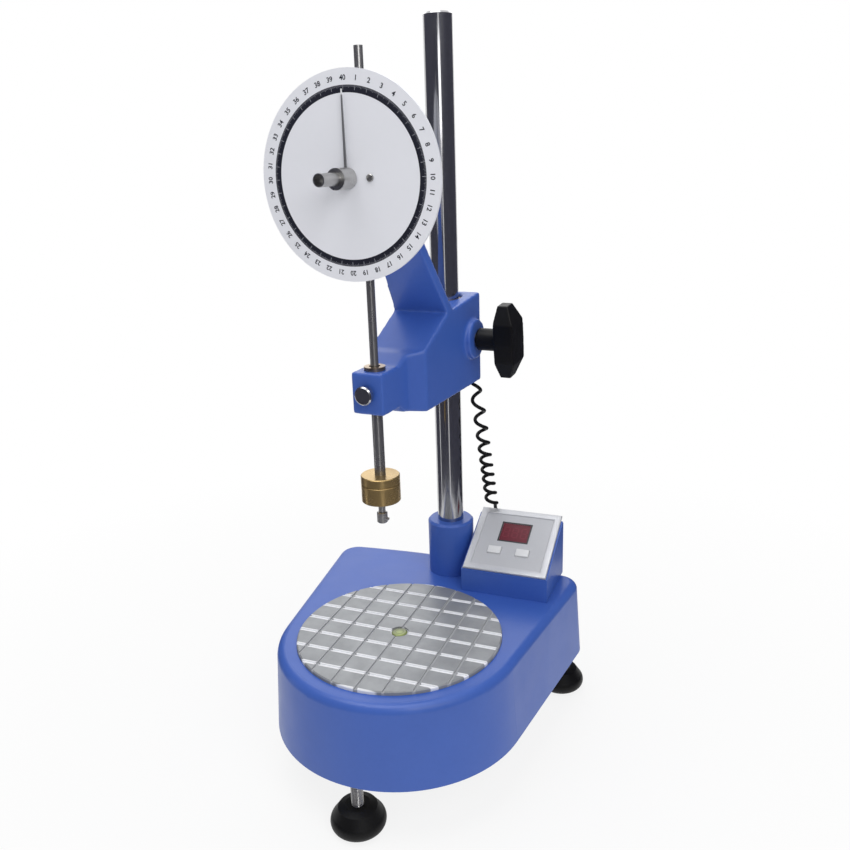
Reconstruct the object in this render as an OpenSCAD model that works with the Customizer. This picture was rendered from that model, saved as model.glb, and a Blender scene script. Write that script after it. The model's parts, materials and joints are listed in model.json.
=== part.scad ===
// Bitumen penetrometer: cast base with a grooved table, pillar, sliding head with dial, electric timer.
// Millimetres. X to the right, Y to the back, Z up, the bench at Z = 0.

/* [Base casting] */
// Height of the casting's underside above the bench
base_lift = 47.5; // [40:0.5:60]
// Height of the casting
base_h = 71.5; // [60:0.5:90]
// Radius of the round nose
base_nose_r = 105; // [100:1:125]
// Width across the back
base_back_w = 249; // [240:1:280]
// Radius of the two back corners
base_corner_r = 18; // [16:0.5:26]
// Rounding along the top edge
base_edge_r = 7; // [4:0.5:10]
// Outward lean of the walls from the top edge down to the underside
base_draft = 4.2; // [0:0.2:6]
// Radius of the bowed back
base_bow_r = 900; // [500:10:2000]
// Wall thickness of the hollow casting
base_wall = 6; // [4:0.5:9]
// Distance from the pillar axis to the back face
base_back = 27; // [25:0.5:34]
// Centre of the nose behind the table centre
nose_shift = 1; // [0:0.5:6]
// Thickness of the closing plate underneath
base_plate_t = 2; // [1.5:0.5:4]

/* [Table] */
// Diameter of the grooved table
table_d = 175; // [150:1:185]
// Thickness of the table
table_t = 5; // [4:0.5:8]
// Depth of the round seat that takes the table
table_sink = 2; // [1:0.5:3]
// Chamfer round the table's top edge
table_edge = 0.8; // [0.4:0.1:1.2]
// Distance between two grooves
groove_pitch = 22; // [18:1:30]
// Width of a groove
groove_w = 2; // [1:0.2:3]
// Depth of a groove
groove_depth = 1.2; // [0.6:0.2:2]
// Diameter of the bull's-eye level
level_d = 16; // [12:0.5:20]
// Depth of the level's cup below the table top
level_depth = 4; // [3:0.5:4]

/* [Pillar] */
// Diameter of the pillar
pillar_d = 25; // [22:0.5:28]
// Top of the pillar above the bench
pillar_top = 623; // [560:1:700]
// Distance from the pillar axis to the plunger axis and the table centre
arm_reach = 133.5; // [128:0.5:140]
// Diameter of the pillar socket
socket_d = 44; // [38:1:44]
// Height of the socket above the base top
socket_h = 54; // [40:1:70]
// Depth of the socket below the base top
socket_depth = 28; // [20:1:34]
// Diameter of the bolt that holds the pillar from below
pillar_bolt_d = 12; // [10:1:14]

/* [Levelling feet] */
// Diameter of a foot pad
foot_d = 45; // [36:1:50]
// Height of a foot pad
foot_h = 22; // [18:1:26]
// Diameter of a foot stud
stud_d = 10; // [8:0.5:12]
// Distance of the rear feet inside the sides of the base
foot_side_inset = 16.5; // [14:0.5:24]
// Distance from the origin to the line of the rear feet
foot_reach = 120.5; // [116:0.5:122]
// Distance of the front foot behind the tip of the nose
foot_inset = 8.5; // [8:0.5:16]
// Distance of the rear feet behind the pillar axis
foot_behind = 12; // [8:0.5:13]

/* [Head casting] */
// Swing of the head about the pillar, as it stands at rest
head_swing = -4.6; // [-10:0.1:10]
// Underside of the arm above the bench
head_z = 309; // [270:1:380]
// Width of the arm
arm_w = 52; // [46:1:56]
// Height of the arm at its back
arm_back_h = 82.5; // [78:0.5:92]
// Height of the arm where the strut rises
arm_fold_h = 75; // [70:0.5:78]
// Height of the arm at its front shoulder
arm_front_h = 51.5; // [48:0.5:58]
// Reach of the arm behind the pillar axis
arm_back = 20.5; // [18:0.5:24]
// Distance from the pillar axis to the foot of the strut
arm_fold = 50; // [44:0.5:56]
// Distance from the pillar axis to the front shoulder
arm_shoulder = 95; // [90:0.5:100]
// Width and depth of the plunger block
block_w = 28; // [26:0.5:34]
// Underside of the plunger block above the arm's underside
block_low = 9.5; // [6:0.5:12]
// Top of the plunger block above the arm's underside
block_top = 43; // [41:0.5:46]
// Thickness of the strut along Y
strut_t = 12; // [9:0.5:15]
// Width of the strut at its top
strut_top_w = 26; // [22:1:32]
// Outer diameter of the bushes round the pillar
bush_d = 30; // [29:0.5:32]
// Length of each bush round the pillar
bush_len = 23; // [16:0.5:24]

/* [Clamp knob] */
// Height of the clamp screw above the arm's underside
clamp_h = 43; // [40:0.5:46]
// Diameter of the round pad that the screw passes through
clamp_boss_d = 36; // [30:1:40]
// Diameter of the clamp screw
clamp_stud_d = 10; // [8:0.5:12]
// Length of the knob across its wings
knob_span = 66; // [54:1:72]
// Width of the knob across its middle
knob_w = 30; // [24:1:36]
// Thickness of the wings
knob_t = 18; // [14:0.5:22]
// Diameter of the knob's neck
knob_neck_d = 20; // [16:0.5:22]
// Turn of the knob at rest
knob_turn = 6; // [0:1:30]

/* [Dial and gear] */
// Diameter of the dial
dial_d = 150; // [125:1:160]
// Thickness of the dial
dial_t = 2; // [1.5:0.5:3]
// Height of the dial centre above the arm's underside
dial_h = 187.5; // [184:0.5:192]
// Width of the gear housing
housing_w = 50; // [46:1:56]
// Height of the gear housing
housing_h = 46; // [40:1:52]
// Distance from the plunger axis to the housing's back
housing_behind = 17.5; // [16:0.5:22]
// Thickness of the plate that carries the dial
carrier_t = 2.5; // [2:0.5:4]
// Wall of the housing in front of the rack rod
housing_skin = 1.2; // [1:0.1:2]
// Rack pitch, so that one turn of twenty teeth is forty millimetres
rack_pitch = 2; // [1.6:0.1:2.4]
// Teeth on the pinion
pinion_teeth = 20; // [16:1:24]
// Face width of the pinion
pinion_w = 7; // [5:0.5:8]
// Diameter of the pointer arbor
arbor_d = 5; // [4:0.5:6]
// Diameter of the pointer hub
hub_d = 15.4; // [12:0.2:18]
// Length of the pointer hub
hub_len = 17; // [12:0.5:22]
// Diameter of the finger stem
stem_d = 9.4; // [8:0.2:11]
// Length of the finger stem
stem_len = 22; // [14:0.5:28]
// Length of the pointer from the dial centre
pointer_len = 61; // [50:0.5:62]
// Distance of a dial screw from the dial centre
dial_screw_reach = 18.6; // [17:0.2:21]

/* [Plunger] */
// Diameter of the rack rod
rack_d = 6.6; // [6:0.1:7.4]
// Top of the rack rod above the arm's underside
rack_top = 277; // [266:1:300]
// Diameter of the plunger
plunger_d = 9; // [8:0.1:9.6]
// Top of the plunger above the arm's underside
plunger_top = 27; // [24:0.5:32]
// Distance from the weights' top face down from the arm's underside
weight_drop = 44.2; // [42:0.2:56]
// Diameter of the weights
weight_d = 32; // [26:0.5:38]
// Thickness of the upper, fifty gram weight
weight_small_t = 7.5; // [6:0.1:10]
// Thickness of the lower, hundred gram weight
weight_large_t = 15; // [12:0.1:20]
// Diameter of the spigot under the plunger
spigot_d = 5.8; // [5:0.1:7.4]
// Bare length of spigot between the weights and the chuck
neck_len = 10.3; // [4:0.1:14]
// Diameter of the needle chuck
chuck_d = 8.8; // [8:0.1:12]
// Length of the needle chuck
chuck_len = 9.5; // [8:0.5:14]
// Diameter of a needle's ferrule
ferrule_d = 3.2; // [2.8:0.1:4]
// Travel of the plunger
plunger_travel = 45; // [30:1:45]

/* [Release] */
// Height of the release button above the arm's underside
release_h = 26.6; // [25:0.1:28]
// Diameter of the release button
button_d = 15; // [12:0.5:17]
// Thickness of the release button's cap
button_t = 4; // [3:0.5:6]
// Travel of the release button
button_travel = 3; // [2:0.5:3]
// Diameter of the solenoid coil
coil_d = 24; // [18:0.5:26]
// Length of the solenoid coil
coil_len = 34; // [24:1:36]

/* [Timer] */
// Left edge of the timer's front frame
timer_x = 26; // [24:0.1:30]
// Width of the front frame
timer_w = 79; // [72:1:90]
// Length of the front frame along its slope
timer_slope_len = 74.5; // [70:0.5:75]
// Tilt of the front frame
timer_tilt = 27.2; // [24:0.1:30]
// Front face of the timer ahead of the pillar axis
timer_front = 42.5; // [40:0.5:46]
// Height of the frame's lower edge above the base top
timer_front_h = 24.9; // [22:0.1:30]
// Wall thickness of the timer case
timer_wall = 2.4; // [1.6:0.2:3]
// Width of the frame's border
bezel_border = 6.5; // [5:0.5:7.5]
// Thickness of the frame
bezel_t = 2.5; // [2:0.1:3.5]
// Depth of the panel below the frame's face
panel_sunk = 0.8; // [0.4:0.1:1]
// Width of the display
display_w = 27; // [24:0.5:32]
// Height of the display
display_h = 21; // [18:0.5:22]
// Width of a key
key_w = 13; // [10:0.5:15]
// Height of a key
key_h = 8.5; // [7:0.5:10]
// Travel of a key
key_travel = 0.8; // [0.4:0.1:1]

/* [Curly cord] */
// Diameter of the cord
cord_d = 3.4; // [2.4:0.1:4]
// Outer diameter of the curls
curl_d = 13.4; // [11:0.2:15]
// Number of curls
curls = 10; // [6:1:14]

/* [Clearances] */
// Radial clearance of a running fit
run_gap = 0.05; // [0.02:0.01:0.1]
// Clearance between moving pieces that do not fit each other
free_gap = 0.3; // [0.2:0.05:0.5]

/* [Hidden] */
$fn = 96;

paint = [0.23, 0.36, 0.72];
steel = [0.72, 0.73, 0.75];
brass = [0.72, 0.55, 0.28];
black = [0.08, 0.08, 0.09];
silver = [0.8, 0.81, 0.82];

// Main places
foot_rim = foot_d / 2;
pillar_y = foot_reach - foot_behind;
table_y = pillar_y - arm_reach;
base_top = base_lift + base_h;
seat_top = base_top - table_sink;
table_top = seat_top + table_t;
back_y = pillar_y + base_back;
nose = [0, table_y + nose_shift];
bow_middle = [0, back_y - base_bow_r];
corner_x = base_back_w / 2 - base_corner_r;
corner = [corner_x, bow_middle.y + sqrt(pow(base_bow_r - base_corner_r, 2) - pow(corner_x, 2))];
bow_half = asin(corner_x / (base_bow_r - base_corner_r));
rim_thick = 18;
seam_step = 0.03;
front_foot_y = nose.y - base_nose_r + foot_inset;
rear_foot_y = pillar_y + foot_behind;
foot_half_w = base_back_w / 2 - foot_side_inset;
foot_places = [[0, front_foot_y], [-foot_half_w, rear_foot_y], [foot_half_w, rear_foot_y]];
stud_depth = base_h - base_wall - 6;
stud_engaged = 34;
pad_hole = 12;
plate_screw_places = [[70, 70], [-70, 70], [70, -70], [-70, -70]];
plate_screw_d = 4;
plate_screw_len = 10;
plate_head_t = 2;
foot_boss_d = stud_d + 14;
plate_boss_d = plate_screw_d + 8;
socket_floor = 8;
bolt_reach = 20;
bolt_head_t = 7;

// Tangent from the nose to the right back corner
nose_to_corner = corner - nose;
span_to_corner = norm(nose_to_corner);
side_bearing = atan2(nose_to_corner.y, nose_to_corner.x);
side_angle = side_bearing - acos((base_nose_r - base_corner_r) / span_to_corner);
side_normal = [cos(side_angle), sin(side_angle)];
side_len = sqrt(pow(span_to_corner, 2) - pow(base_nose_r - base_corner_r, 2));

// Head frame: origin on the pillar axis at the arm's underside, the arm along -Y
block_front = -arm_reach - block_w / 2;
block_back = -arm_reach + block_w / 2;
rod_r = rack_d / 2;
pitch_r = rack_pitch * pinion_teeth / (2 * PI);
addendum = 0.31 * rack_pitch;
dedendum = 0.425 * rack_pitch;
rack_pitch_x = rod_r - 0.9;
dial_x = -(pitch_r + rack_pitch_x);
housing_front = -arm_reach - rod_r - run_gap - housing_skin - 0.1;
carrier_front = housing_front - carrier_t;
dial_front = carrier_front - dial_t;
housing_back = -arm_reach + housing_behind;
housing_low = dial_h - housing_h / 2;
strut_grip = 12;
strut_meet = housing_low + strut_grip;
strut_top = housing_low + housing_h - 6;
hub_back = dial_front - 0.6;
hub_front = hub_back - hub_len;
stem_front = hub_front - stem_len;
pinion_back = -arm_reach + pinion_w / 2;
pinion_front = -arm_reach - pinion_w / 2;
cavity_back = pinion_back + 0.6;
arbor_back = cavity_back + 9;
weight_top = -weight_drop;
weight_low = weight_top - weight_small_t - weight_large_t;
chuck_top = weight_low - neck_len;
chuck_low = chuck_top - chuck_len;
bar_w = 18;
bar_t = 6;
bar_front = block_front + 4.5;
armature_d = 8;
solenoid_front = -arm_shoulder + 9;
solenoid_back = solenoid_front + coil_len;
cavity_w = 34;
cavity_top = 40;
cavity_front = -arm_shoulder + 4;
cavity_end = solenoid_back + 3;
bar_back = cavity_front + 1;
cover_t = 2;
lip_h = 3;
bush_low = lip_h;
bush_high = arm_back_h - 4 - bush_len;
knob_stand = 26;
knob_in = arm_w / 2 + knob_stand;
clamp_boss_t = 5.5;
gland_place = [19, 14.5];
lead_pocket = 14;
head_gland_d = cord_d + 6;
head_gland_t = 3;
housing_screw_x = [-8, 8];
housing_screw_z = dial_h + 9;
housing_screw_d = 4;
dial_screw_x = [dial_x - dial_screw_reach, dial_x + dial_screw_reach];
dial_screw_d = 3;
arbor_bush_d = arbor_d + 4;
plunger_bush_d = plunger_d + 4;
lower_bush_len = 10.5;
upper_bush_len = 10;
chuck_screw_d = 2.4;
chuck_screw_z = chuck_len / 2 - 1;
chuck_grip = 1.5;
clamp_pad_t = 4.2;
knob_socket = 4;

// Timer frame
timer_y = pillar_y - timer_front;
timer_z = base_top + timer_front_h;
case_back = back_y - 4;
case_side = 1.4;
board_low = -10.6;
board_t = 1.6;
display_at = [39, 47.5];
key_places = [[24.6, 24.4], [51.6, 24.4]];
inlet_at = [80, base_top + 17];
gland_x = 36;
gland_z = base_top + 26;
gland_len = 3;
gland_d = cord_d + 3.2;
inlet_w = 27;
inlet_h = 20;
inlet_deep = 19;
inlet_skin = 2;
mouth_deep = 15;
flange_w = 32;
flange_h = 25;
flange_t = 2;
core_w = 30;
core_deep = 26;
core_h = 20;
core_foot = 3;
core_gap = 4;
core_inset = 8;
timer_screw_d = 2.4;
timer_boss_h = 9;
timer_boss_d = 5.6;
timer_head_d = 3.4;
timer_head_t = 1.6;
bezel_skin = 0.9;
screw_side = bezel_border / 2;
screw_low = 8;
screw_high = timer_slope_len - 15.5;
timer_screw_places = [[screw_side, screw_low], [timer_w - screw_side, screw_low],
  [screw_side, screw_high], [timer_w - screw_side, screw_high]];
board_middle = [timer_w / 2, timer_slope_len / 2 + 1];

// Curly cord
cord_r = cord_d / 2;
curl_r = (curl_d - cord_d) / 2;
lead_low = -0.5;
lead_stub = 2.4;
curl_start_drop = 2.5;
curl_from = [23.2, pillar_y + 13, head_z - curl_start_drop];
curl_end_lift = 54.6;
curl_end_back = 24;
curl_to = [35.7, pillar_y + curl_end_back, base_top + curl_end_lift];
lead_at = rotate_xy(gland_place, head_swing) + [0, pillar_y];
cord_out_y = case_back + gland_len;
tail_r = 5.4;
tail_y = cord_out_y + 8;
rings_per_curl = 8;
curl_rings = curls * rings_per_curl;
lead_end = [lead_at.x, lead_at.y, head_z + lead_low];

// Share of the way down, with the upper curls drawn further apart
function curl_share(s) = s + 0.85 * s * (1 - s) * (1 - s);
// Radius grows over the first third of a curl
function curl_reach(s) = curl_r * min(1, 3 * curls * s);
function curl_point(s) = let(a = -70 + 360 * curls * s)
  curl_from + curl_share(s) * (curl_to - curl_from) + curl_reach(s) * [cos(a), sin(a), 0];

// Route of the curly cord: down from the lead, round the curls, then into the timer's gland
cord_start = [lead_end, lead_end - [0, 0, lead_stub]];
cord_finish = [
  [gland_x, tail_y - 3, curl_to.z + 3],
  [gland_x, tail_y - 0.9, curl_to.z - 4],
  [gland_x, tail_y - 0.1, curl_to.z - 12],
  for (a = [0 : 30 : 90])
    [gland_x, tail_y - tail_r * (1 - cos(a)), gland_z + tail_r * (1 - sin(a))],
  [gland_x, cord_out_y, gland_z]
];
last_ring = curl_rings - 5;
cord_points = concat(cord_start, [for (i = [1 : last_ring]) curl_point(i / curl_rings)],
  cord_finish);
// Least gap of the cord to itself, between points at least half a curl apart
cord_end = len(cord_points) - 1;
cord_self_gap = min([for (i = [0 : cord_end]) for (j = [i + rings_per_curl / 2 : 1 : cord_end])
  norm(cord_points[i] - cord_points[j])]) - cord_d;
echo(cord_self_gap = cord_self_gap);

function rotate_xy(p, a) = [p.x * cos(a) - p.y * sin(a), p.x * sin(a) + p.y * cos(a)];
function unit(v) = v / norm(v);
function mirror_x(p) = [-p.x, p.y];

// Outline of the base, drawn in by a margin
module base_plan(margin) {
  nose_tangent = nose + (base_nose_r - margin) * side_normal;
  corner_tangent = corner + (base_corner_r - margin) * side_normal;
  bow = [for (i = [8 : -1 : -8]) let(a = bow_half * i / 8)
    bow_middle + (base_bow_r - margin) * [sin(a), cos(a)]];
  translate(nose) circle(base_nose_r - margin - seam_step);
  translate(corner) circle(base_corner_r - margin - seam_step);
  translate(mirror_x(corner)) circle(base_corner_r - margin - seam_step);
  polygon(concat([nose_tangent, corner_tangent], bow,
    [mirror_x(corner_tangent), mirror_x(nose_tangent)]));
}

// Section of the base's wall, leaning out to its foot and rounded at the top, outer face to the right
module wall_section(inner, outer, high) {
  straight = high - base_edge_r;
  polygon([[inner, 0], [outer + base_draft, 0], [outer, straight], [inner, straight]]);
  translate([inner, 0]) square([outer - base_edge_r - inner, high]);
  translate([outer - base_edge_r, straight]) circle(base_edge_r);
}

// Disc with the base's wall round it, a seam's step inside the walls that run off it
module round_puck(radius) {
  rotate_extrude() wall_section(0, radius - seam_step, base_h - 2 * seam_step);
}

// Straight wall on the right side, from the nose to the back corner
module side_wall() {
  translate([nose.x, nose.y, 0]) rotate([0, 0, side_angle]) translate([0, side_len, 0]) rotate([90, 0, 0])
    linear_extrude(side_len) wall_section(base_nose_r - rim_thick, base_nose_r, base_h - seam_step);
}

// Bowed wall across the back
module bow_wall() {
  translate([0, bow_middle.y, 0]) rotate([0, 0, 90 - bow_half]) rotate_extrude(angle = 2 * bow_half)
    wall_section(base_bow_r - rim_thick, base_bow_r, base_h - seam_step);
}

module base_body() {
  translate([nose.x, nose.y, 0]) round_puck(base_nose_r);
  translate([corner.x, corner.y, 0]) round_puck(base_corner_r);
  translate([-corner.x, corner.y, 0]) round_puck(base_corner_r);
  side_wall();
  mirror([1, 0, 0]) side_wall();
  bow_wall();
  linear_extrude(base_h) base_plan(base_edge_r + 1);
}

// Round post with a chamfered rim that takes the foot of the pillar
module pillar_socket() {
  outer = socket_d / 2;
  high = socket_floor + socket_depth + socket_h;
  translate([0, pillar_y, base_top - socket_depth - socket_floor]) rotate_extrude()
    polygon([[0, 0], [outer, 0], [outer, high - 2], [outer - 2, high], [0, high]]);
}

module base_casting() {
  color(paint) difference() {
    union() {
      translate([0, 0, base_lift]) difference() {
        base_body();
        translate([0, 0, -1]) linear_extrude(base_h - base_wall + 1) base_plan(base_wall);
      }
      intersection() {
        translate([0, 0, base_lift + base_plate_t])
          linear_extrude(base_h - base_plate_t - 2) base_plan(base_wall / 2);
        union() {
          for (p = foot_places)
            translate([p.x, p.y, base_lift]) cylinder(d = foot_boss_d, h = base_h);
          for (p = plate_screw_places)
            translate([p.x, p.y, base_lift]) cylinder(d = plate_boss_d, h = base_h);
        }
      }
      pillar_socket();
    }
    translate([0, table_y, seat_top]) cylinder(d = table_d + 2 * free_gap, h = table_sink + 1);
    translate([0, pillar_y, base_top - socket_depth])
      cylinder(d = pillar_d, h = socket_depth + socket_h + 1);
    translate([0, pillar_y, base_lift]) cylinder(d = pillar_bolt_d + 0.4, h = base_h);
    for (p = foot_places)
      translate([p.x, p.y, base_lift - 1]) cylinder(d = stud_d + 2 * run_gap, h = stud_depth + 1);
    for (p = plate_screw_places)
      translate([p.x, p.y, base_lift - 1]) cylinder(d = plate_screw_d, h = plate_screw_len + 4);
  }
}

module base_plate() {
  color(steel) translate([0, 0, base_lift]) difference() {
    linear_extrude(base_plate_t) base_plan(base_wall + free_gap);
    for (p = foot_places)
      translate([p.x, p.y, -1]) cylinder(d = foot_boss_d + 2, h = base_plate_t + 2);
    for (p = plate_screw_places)
      translate([p.x, p.y, -1]) cylinder(d = plate_screw_d, h = base_plate_t + 2);
  }
}

module base_plate_screws() {
  color(steel) for (p = plate_screw_places) translate([p.x, p.y, base_lift]) {
    translate([0, 0, -plate_head_t]) cylinder(d = plate_screw_d * 2, h = plate_head_t);
    cylinder(d = plate_screw_d, h = plate_screw_len);
  }
}

module table() {
  outer = table_d / 2;
  reach = floor((outer - 8) / groove_pitch);
  color(silver) translate([0, table_y, seat_top]) difference() {
    rotate_extrude()
      polygon([[0, 0], [outer, 0], [outer, table_t - table_edge], [outer - table_edge, table_t],
        [0, table_t]]);
    for (i = [-reach : reach]) {
      translate([-table_d, i * groove_pitch - groove_w / 2, table_t - groove_depth])
        cube([2 * table_d, groove_w, groove_depth + 1]);
      translate([i * groove_pitch - groove_w / 2, -table_d, table_t - groove_depth])
        cube([groove_w, 2 * table_d, groove_depth + 1]);
    }
    translate([0, 0, table_t - level_depth]) cylinder(d = level_d, h = level_depth + 1);
  }
}

module level_cup() {
  color(silver) translate([0, table_y, table_top - level_depth]) difference() {
    cylinder(d = level_d, h = level_depth - groove_depth);
    translate([0, 0, 1]) cylinder(d = level_d - 2.4, h = level_depth);
  }
}

module level_glass() {
  color([0.75, 0.85, 0.2, 0.8]) translate([0, table_y, table_top - level_depth + 1])
    cylinder(d = level_d - 2.4, h = level_depth - 1);
}

module pillar() {
  high = pillar_top - base_top + socket_depth;
  outer = pillar_d / 2;
  color(steel) translate([0, pillar_y, base_top - socket_depth]) difference() {
    rotate_extrude()
      polygon([[0, 0], [outer, 0], [outer, high - 1.5], [outer - 1.5, high], [0, high]]);
    translate([0, 0, -1]) cylinder(d = pillar_bolt_d, h = bolt_reach + 3);
  }
}

module pillar_bolt() {
  color(steel) translate([0, pillar_y, base_top - socket_depth - socket_floor]) {
    translate([0, 0, -bolt_head_t]) cylinder(d = pillar_bolt_d * 1.75, h = bolt_head_t, $fn = 6);
    cylinder(d = pillar_bolt_d, h = socket_floor + bolt_reach);
  }
}

// Threaded stud of one foot, from inside its pad up into the base
module foot_stud(place) {
  color(steel) translate([place.x, place.y, foot_h - pad_hole])
    cylinder(d = stud_d, h = base_lift - foot_h + pad_hole + stud_engaged);
}

// Bun-shaped pad of one foot
module foot_pad(place) {
  bulge = foot_h * 0.36;
  color(black) translate([place.x, place.y, 0]) difference() {
    rotate_extrude() intersection() {
      square([foot_rim, foot_h]);
      union() {
        translate([foot_rim - bulge, bulge]) circle(bulge);
        square([foot_rim - bulge, bulge * 2]);
        polygon([[0, bulge], [foot_rim - bulge * 0.29, bulge * 1.71], [foot_rim * 0.7, foot_h * 0.91],
          [stud_d, foot_h], [0, foot_h]]);
      }
    }
    translate([0, 0, foot_h - pad_hole]) cylinder(d = stud_d, h = pad_hole + 1);
  }
}

module foot_stud_front() { foot_stud(foot_places[0]); }
module foot_stud_left() { foot_stud(foot_places[1]); }
module foot_stud_right() { foot_stud(foot_places[2]); }
module foot_pad_front() { foot_pad(foot_places[0]); }
module foot_pad_left() { foot_pad(foot_places[1]); }
module foot_pad_right() { foot_pad(foot_places[2]); }

// Places its children on the sloping front of the timer: X along it, Y up the slope, Z out of it
module on_timer_front() {
  translate([timer_x, timer_y, timer_z]) rotate([timer_tilt, 0, 0]) children();
}

// Height of the case's sloping edge at a place along Y, drawn in by a margin
function case_edge(y, margin) =
  timer_z - (bezel_t + margin) / cos(timer_tilt) + (y - timer_y) * tan(timer_tilt);

module case_profile(margin, open_top) {
  front = timer_y + 0.4 + margin;
  back = case_back - margin;
  rise = open_top ? case_back - timer_y : 0;
  low = base_top - (open_top ? 1 : 0);
  shoulder = case_edge(back - 2.5, 0) + rise;
  rotate([90, 0, 90]) linear_extrude(timer_w + 2 * case_side - 2 * margin)
    polygon([[front, low], [front, case_edge(front, 0) + rise], [back - 2.5, shoulder],
      [back, shoulder - 3], [back, low]]);
}

module timer_case() {
  color(paint) difference() {
    translate([timer_x - case_side, 0, 0]) case_profile(0, false);
    translate([timer_x - case_side + timer_wall, 0, 0]) case_profile(timer_wall, true);
    translate([inlet_at.x - inlet_w / 2, case_back - timer_wall - 1, inlet_at.y - inlet_h / 2])
      cube([inlet_w, timer_wall + 2, inlet_h]);
    translate([gland_x, case_back + 1, gland_z]) rotate([90, 0, 0])
      cylinder(d = gland_d, h = timer_wall + 2);
    for (p = timer_screw_places) on_timer_front()
      translate([p.x, p.y, -timer_boss_h - timer_head_t]) timer_screw_room();
  }
  color(paint) for (p = timer_screw_places) intersection() {
    translate([timer_x - case_side, 0, 0]) case_profile(0, false);
    on_timer_front() translate([p.x, p.y, -timer_boss_h]) difference() {
      cylinder(d = timer_boss_d, h = timer_boss_h);
      translate([0, 0, -1]) cylinder(d = timer_screw_d, h = timer_boss_h + 2);
    }
  }
}

// Room for a screw and its head where it stands close to the wall
module timer_screw_room() {
  cylinder(d = timer_screw_d, h = timer_head_t + timer_boss_h);
  cylinder(d = timer_head_d + 2 * run_gap, h = timer_head_t);
}

module timer_bezel() {
  color(silver) on_timer_front() difference() {
    translate([0, 0, -bezel_t]) cube([timer_w, timer_slope_len, bezel_t]);
    translate([bezel_border, bezel_border, -bezel_t - 1])
      cube([timer_w - 2 * bezel_border, timer_slope_len - 2 * bezel_border, bezel_t + 2]);
    for (p = timer_screw_places)
      translate([p.x, p.y, -bezel_t - 1]) cylinder(d = timer_screw_d, h = bezel_t + 1 - bezel_skin);
  }
}

// Rectangular opening or block centred at a place on the panel
module panel_block(at, wide, tall, low, high) {
  translate([at.x - wide / 2, at.y - tall / 2, low]) cube([wide, tall, high - low]);
}

module timer_panel() {
  color(silver) on_timer_front() difference() {
    translate([bezel_border, bezel_border, -bezel_t])
      cube([timer_w - 2 * bezel_border, timer_slope_len - 2 * bezel_border, bezel_t - panel_sunk]);
    panel_block(display_at, display_w, display_h, -bezel_t - 1, 1);
    for (p = key_places) panel_block(p, key_w, key_h, -bezel_t - 1, 1);
  }
}

module display_window() {
  color([0.5, 0.05, 0.08, 0.8]) on_timer_front()
    panel_block(display_at, display_w, display_h, -bezel_t, -panel_sunk - 0.3);
}

module display_module() {
  color(black) on_timer_front()
    panel_block(display_at, display_w - 2, display_h - 1.5, board_low + board_t, -bezel_t);
}

module timer_board() {
  color([0.1, 0.35, 0.2]) on_timer_front() {
    panel_block(board_middle, timer_w - 20, timer_slope_len - 22, board_low, board_low + board_t);
    for (p = key_places)
      panel_block(p, 6, 6, board_low + board_t, -bezel_t - 1.2 - key_travel - free_gap);
    for (x = [-1, 1] * (timer_w / 2 - 13), y = [-1, 1] * (timer_slope_len / 2 - 14))
      translate([board_middle.x + x, board_middle.y + y, board_low])
        cylinder(d = 4, h = -bezel_t - board_low);
  }
}

// Key cap with a flange behind the panel
module key_cap(at) {
  color("white") on_timer_front() {
    panel_block(at, key_w - 2 * free_gap, key_h - 2 * free_gap, -bezel_t - 1.2, key_travel + 0.1);
    panel_block(at, key_w + 2, key_h + 2, -bezel_t - 1.2, -bezel_t - 0.2);
  }
}

module key_left() { key_cap(key_places[0]); }
module key_right() { key_cap(key_places[1]); }

module timer_screws() {
  color(steel) for (p = timer_screw_places) on_timer_front()
    translate([p.x, p.y, -timer_boss_h]) {
      cylinder(d = timer_screw_d, h = timer_boss_h - bezel_skin);
      translate([0, 0, -timer_head_t]) cylinder(d = timer_head_d, h = timer_head_t);
    }
}

module transformer() {
  color([0.35, 0.35, 0.36])
    translate([timer_x + core_inset, case_back - timer_wall - core_gap - core_deep, base_top]) {
      cube([core_w, core_deep, core_h]);
      translate([-core_foot, 4, 0]) cube([core_w + 2 * core_foot, core_deep - 8, 2]);
      translate([5, 1, core_h]) cube([core_w - 10, core_deep - 2, 3]);
    }
}

module mains_inlet() {
  color(black) translate([inlet_at.x, 0, inlet_at.y]) difference() {
    union() {
      translate([-flange_w / 2, case_back, -flange_h / 2]) cube([flange_w, flange_t, flange_h]);
      translate([-inlet_w / 2, case_back - inlet_deep, -inlet_h / 2])
        cube([inlet_w, inlet_deep + 0.5, inlet_h]);
    }
    translate([-inlet_w / 2 + inlet_skin, case_back - mouth_deep, -inlet_h / 2 + inlet_skin])
      cube([inlet_w - 2 * inlet_skin, mouth_deep + flange_t + 1, inlet_h - 2 * inlet_skin]);
  }
  color(steel) for (pin = [[-7, -2], [0, 2.5], [7, -2]])
    translate([inlet_at.x + pin.x - 1, case_back - mouth_deep - 0.5, inlet_at.y + pin.y - 2])
      cube([2, mouth_deep - 2, 4]);
}

module timer_gland() {
  color(black) translate([gland_x, cord_out_y, gland_z]) rotate([90, 0, 0]) {
    cylinder(d = cord_d + 5, h = gland_len);
    cylinder(d = gland_d, h = gland_len + timer_wall + 3);
  }
}

// Places its children in the head's own frame
module at_head() {
  translate([0, pillar_y, head_z]) rotate([0, 0, head_swing]) children();
}

// Straight round bar along the head's Y axis, from front to back
module bar_y(x, z, front, back, d) {
  translate([x, back, z]) rotate([90, 0, 0]) cylinder(d = d, h = back - front);
}

// Straight round bar along the head's X axis
module bar_x(y, z, from, to, d) {
  translate([from, y, z]) rotate([0, 90, 0]) cylinder(d = d, h = to - from);
}

module pillar_bush(low, length) {
  color(brass) at_head() translate([0, 0, low]) difference() {
    cylinder(d = bush_d, h = length);
    translate([0, 0, -1]) cylinder(d = pillar_d + 2 * run_gap, h = length + 2);
  }
}

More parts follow.
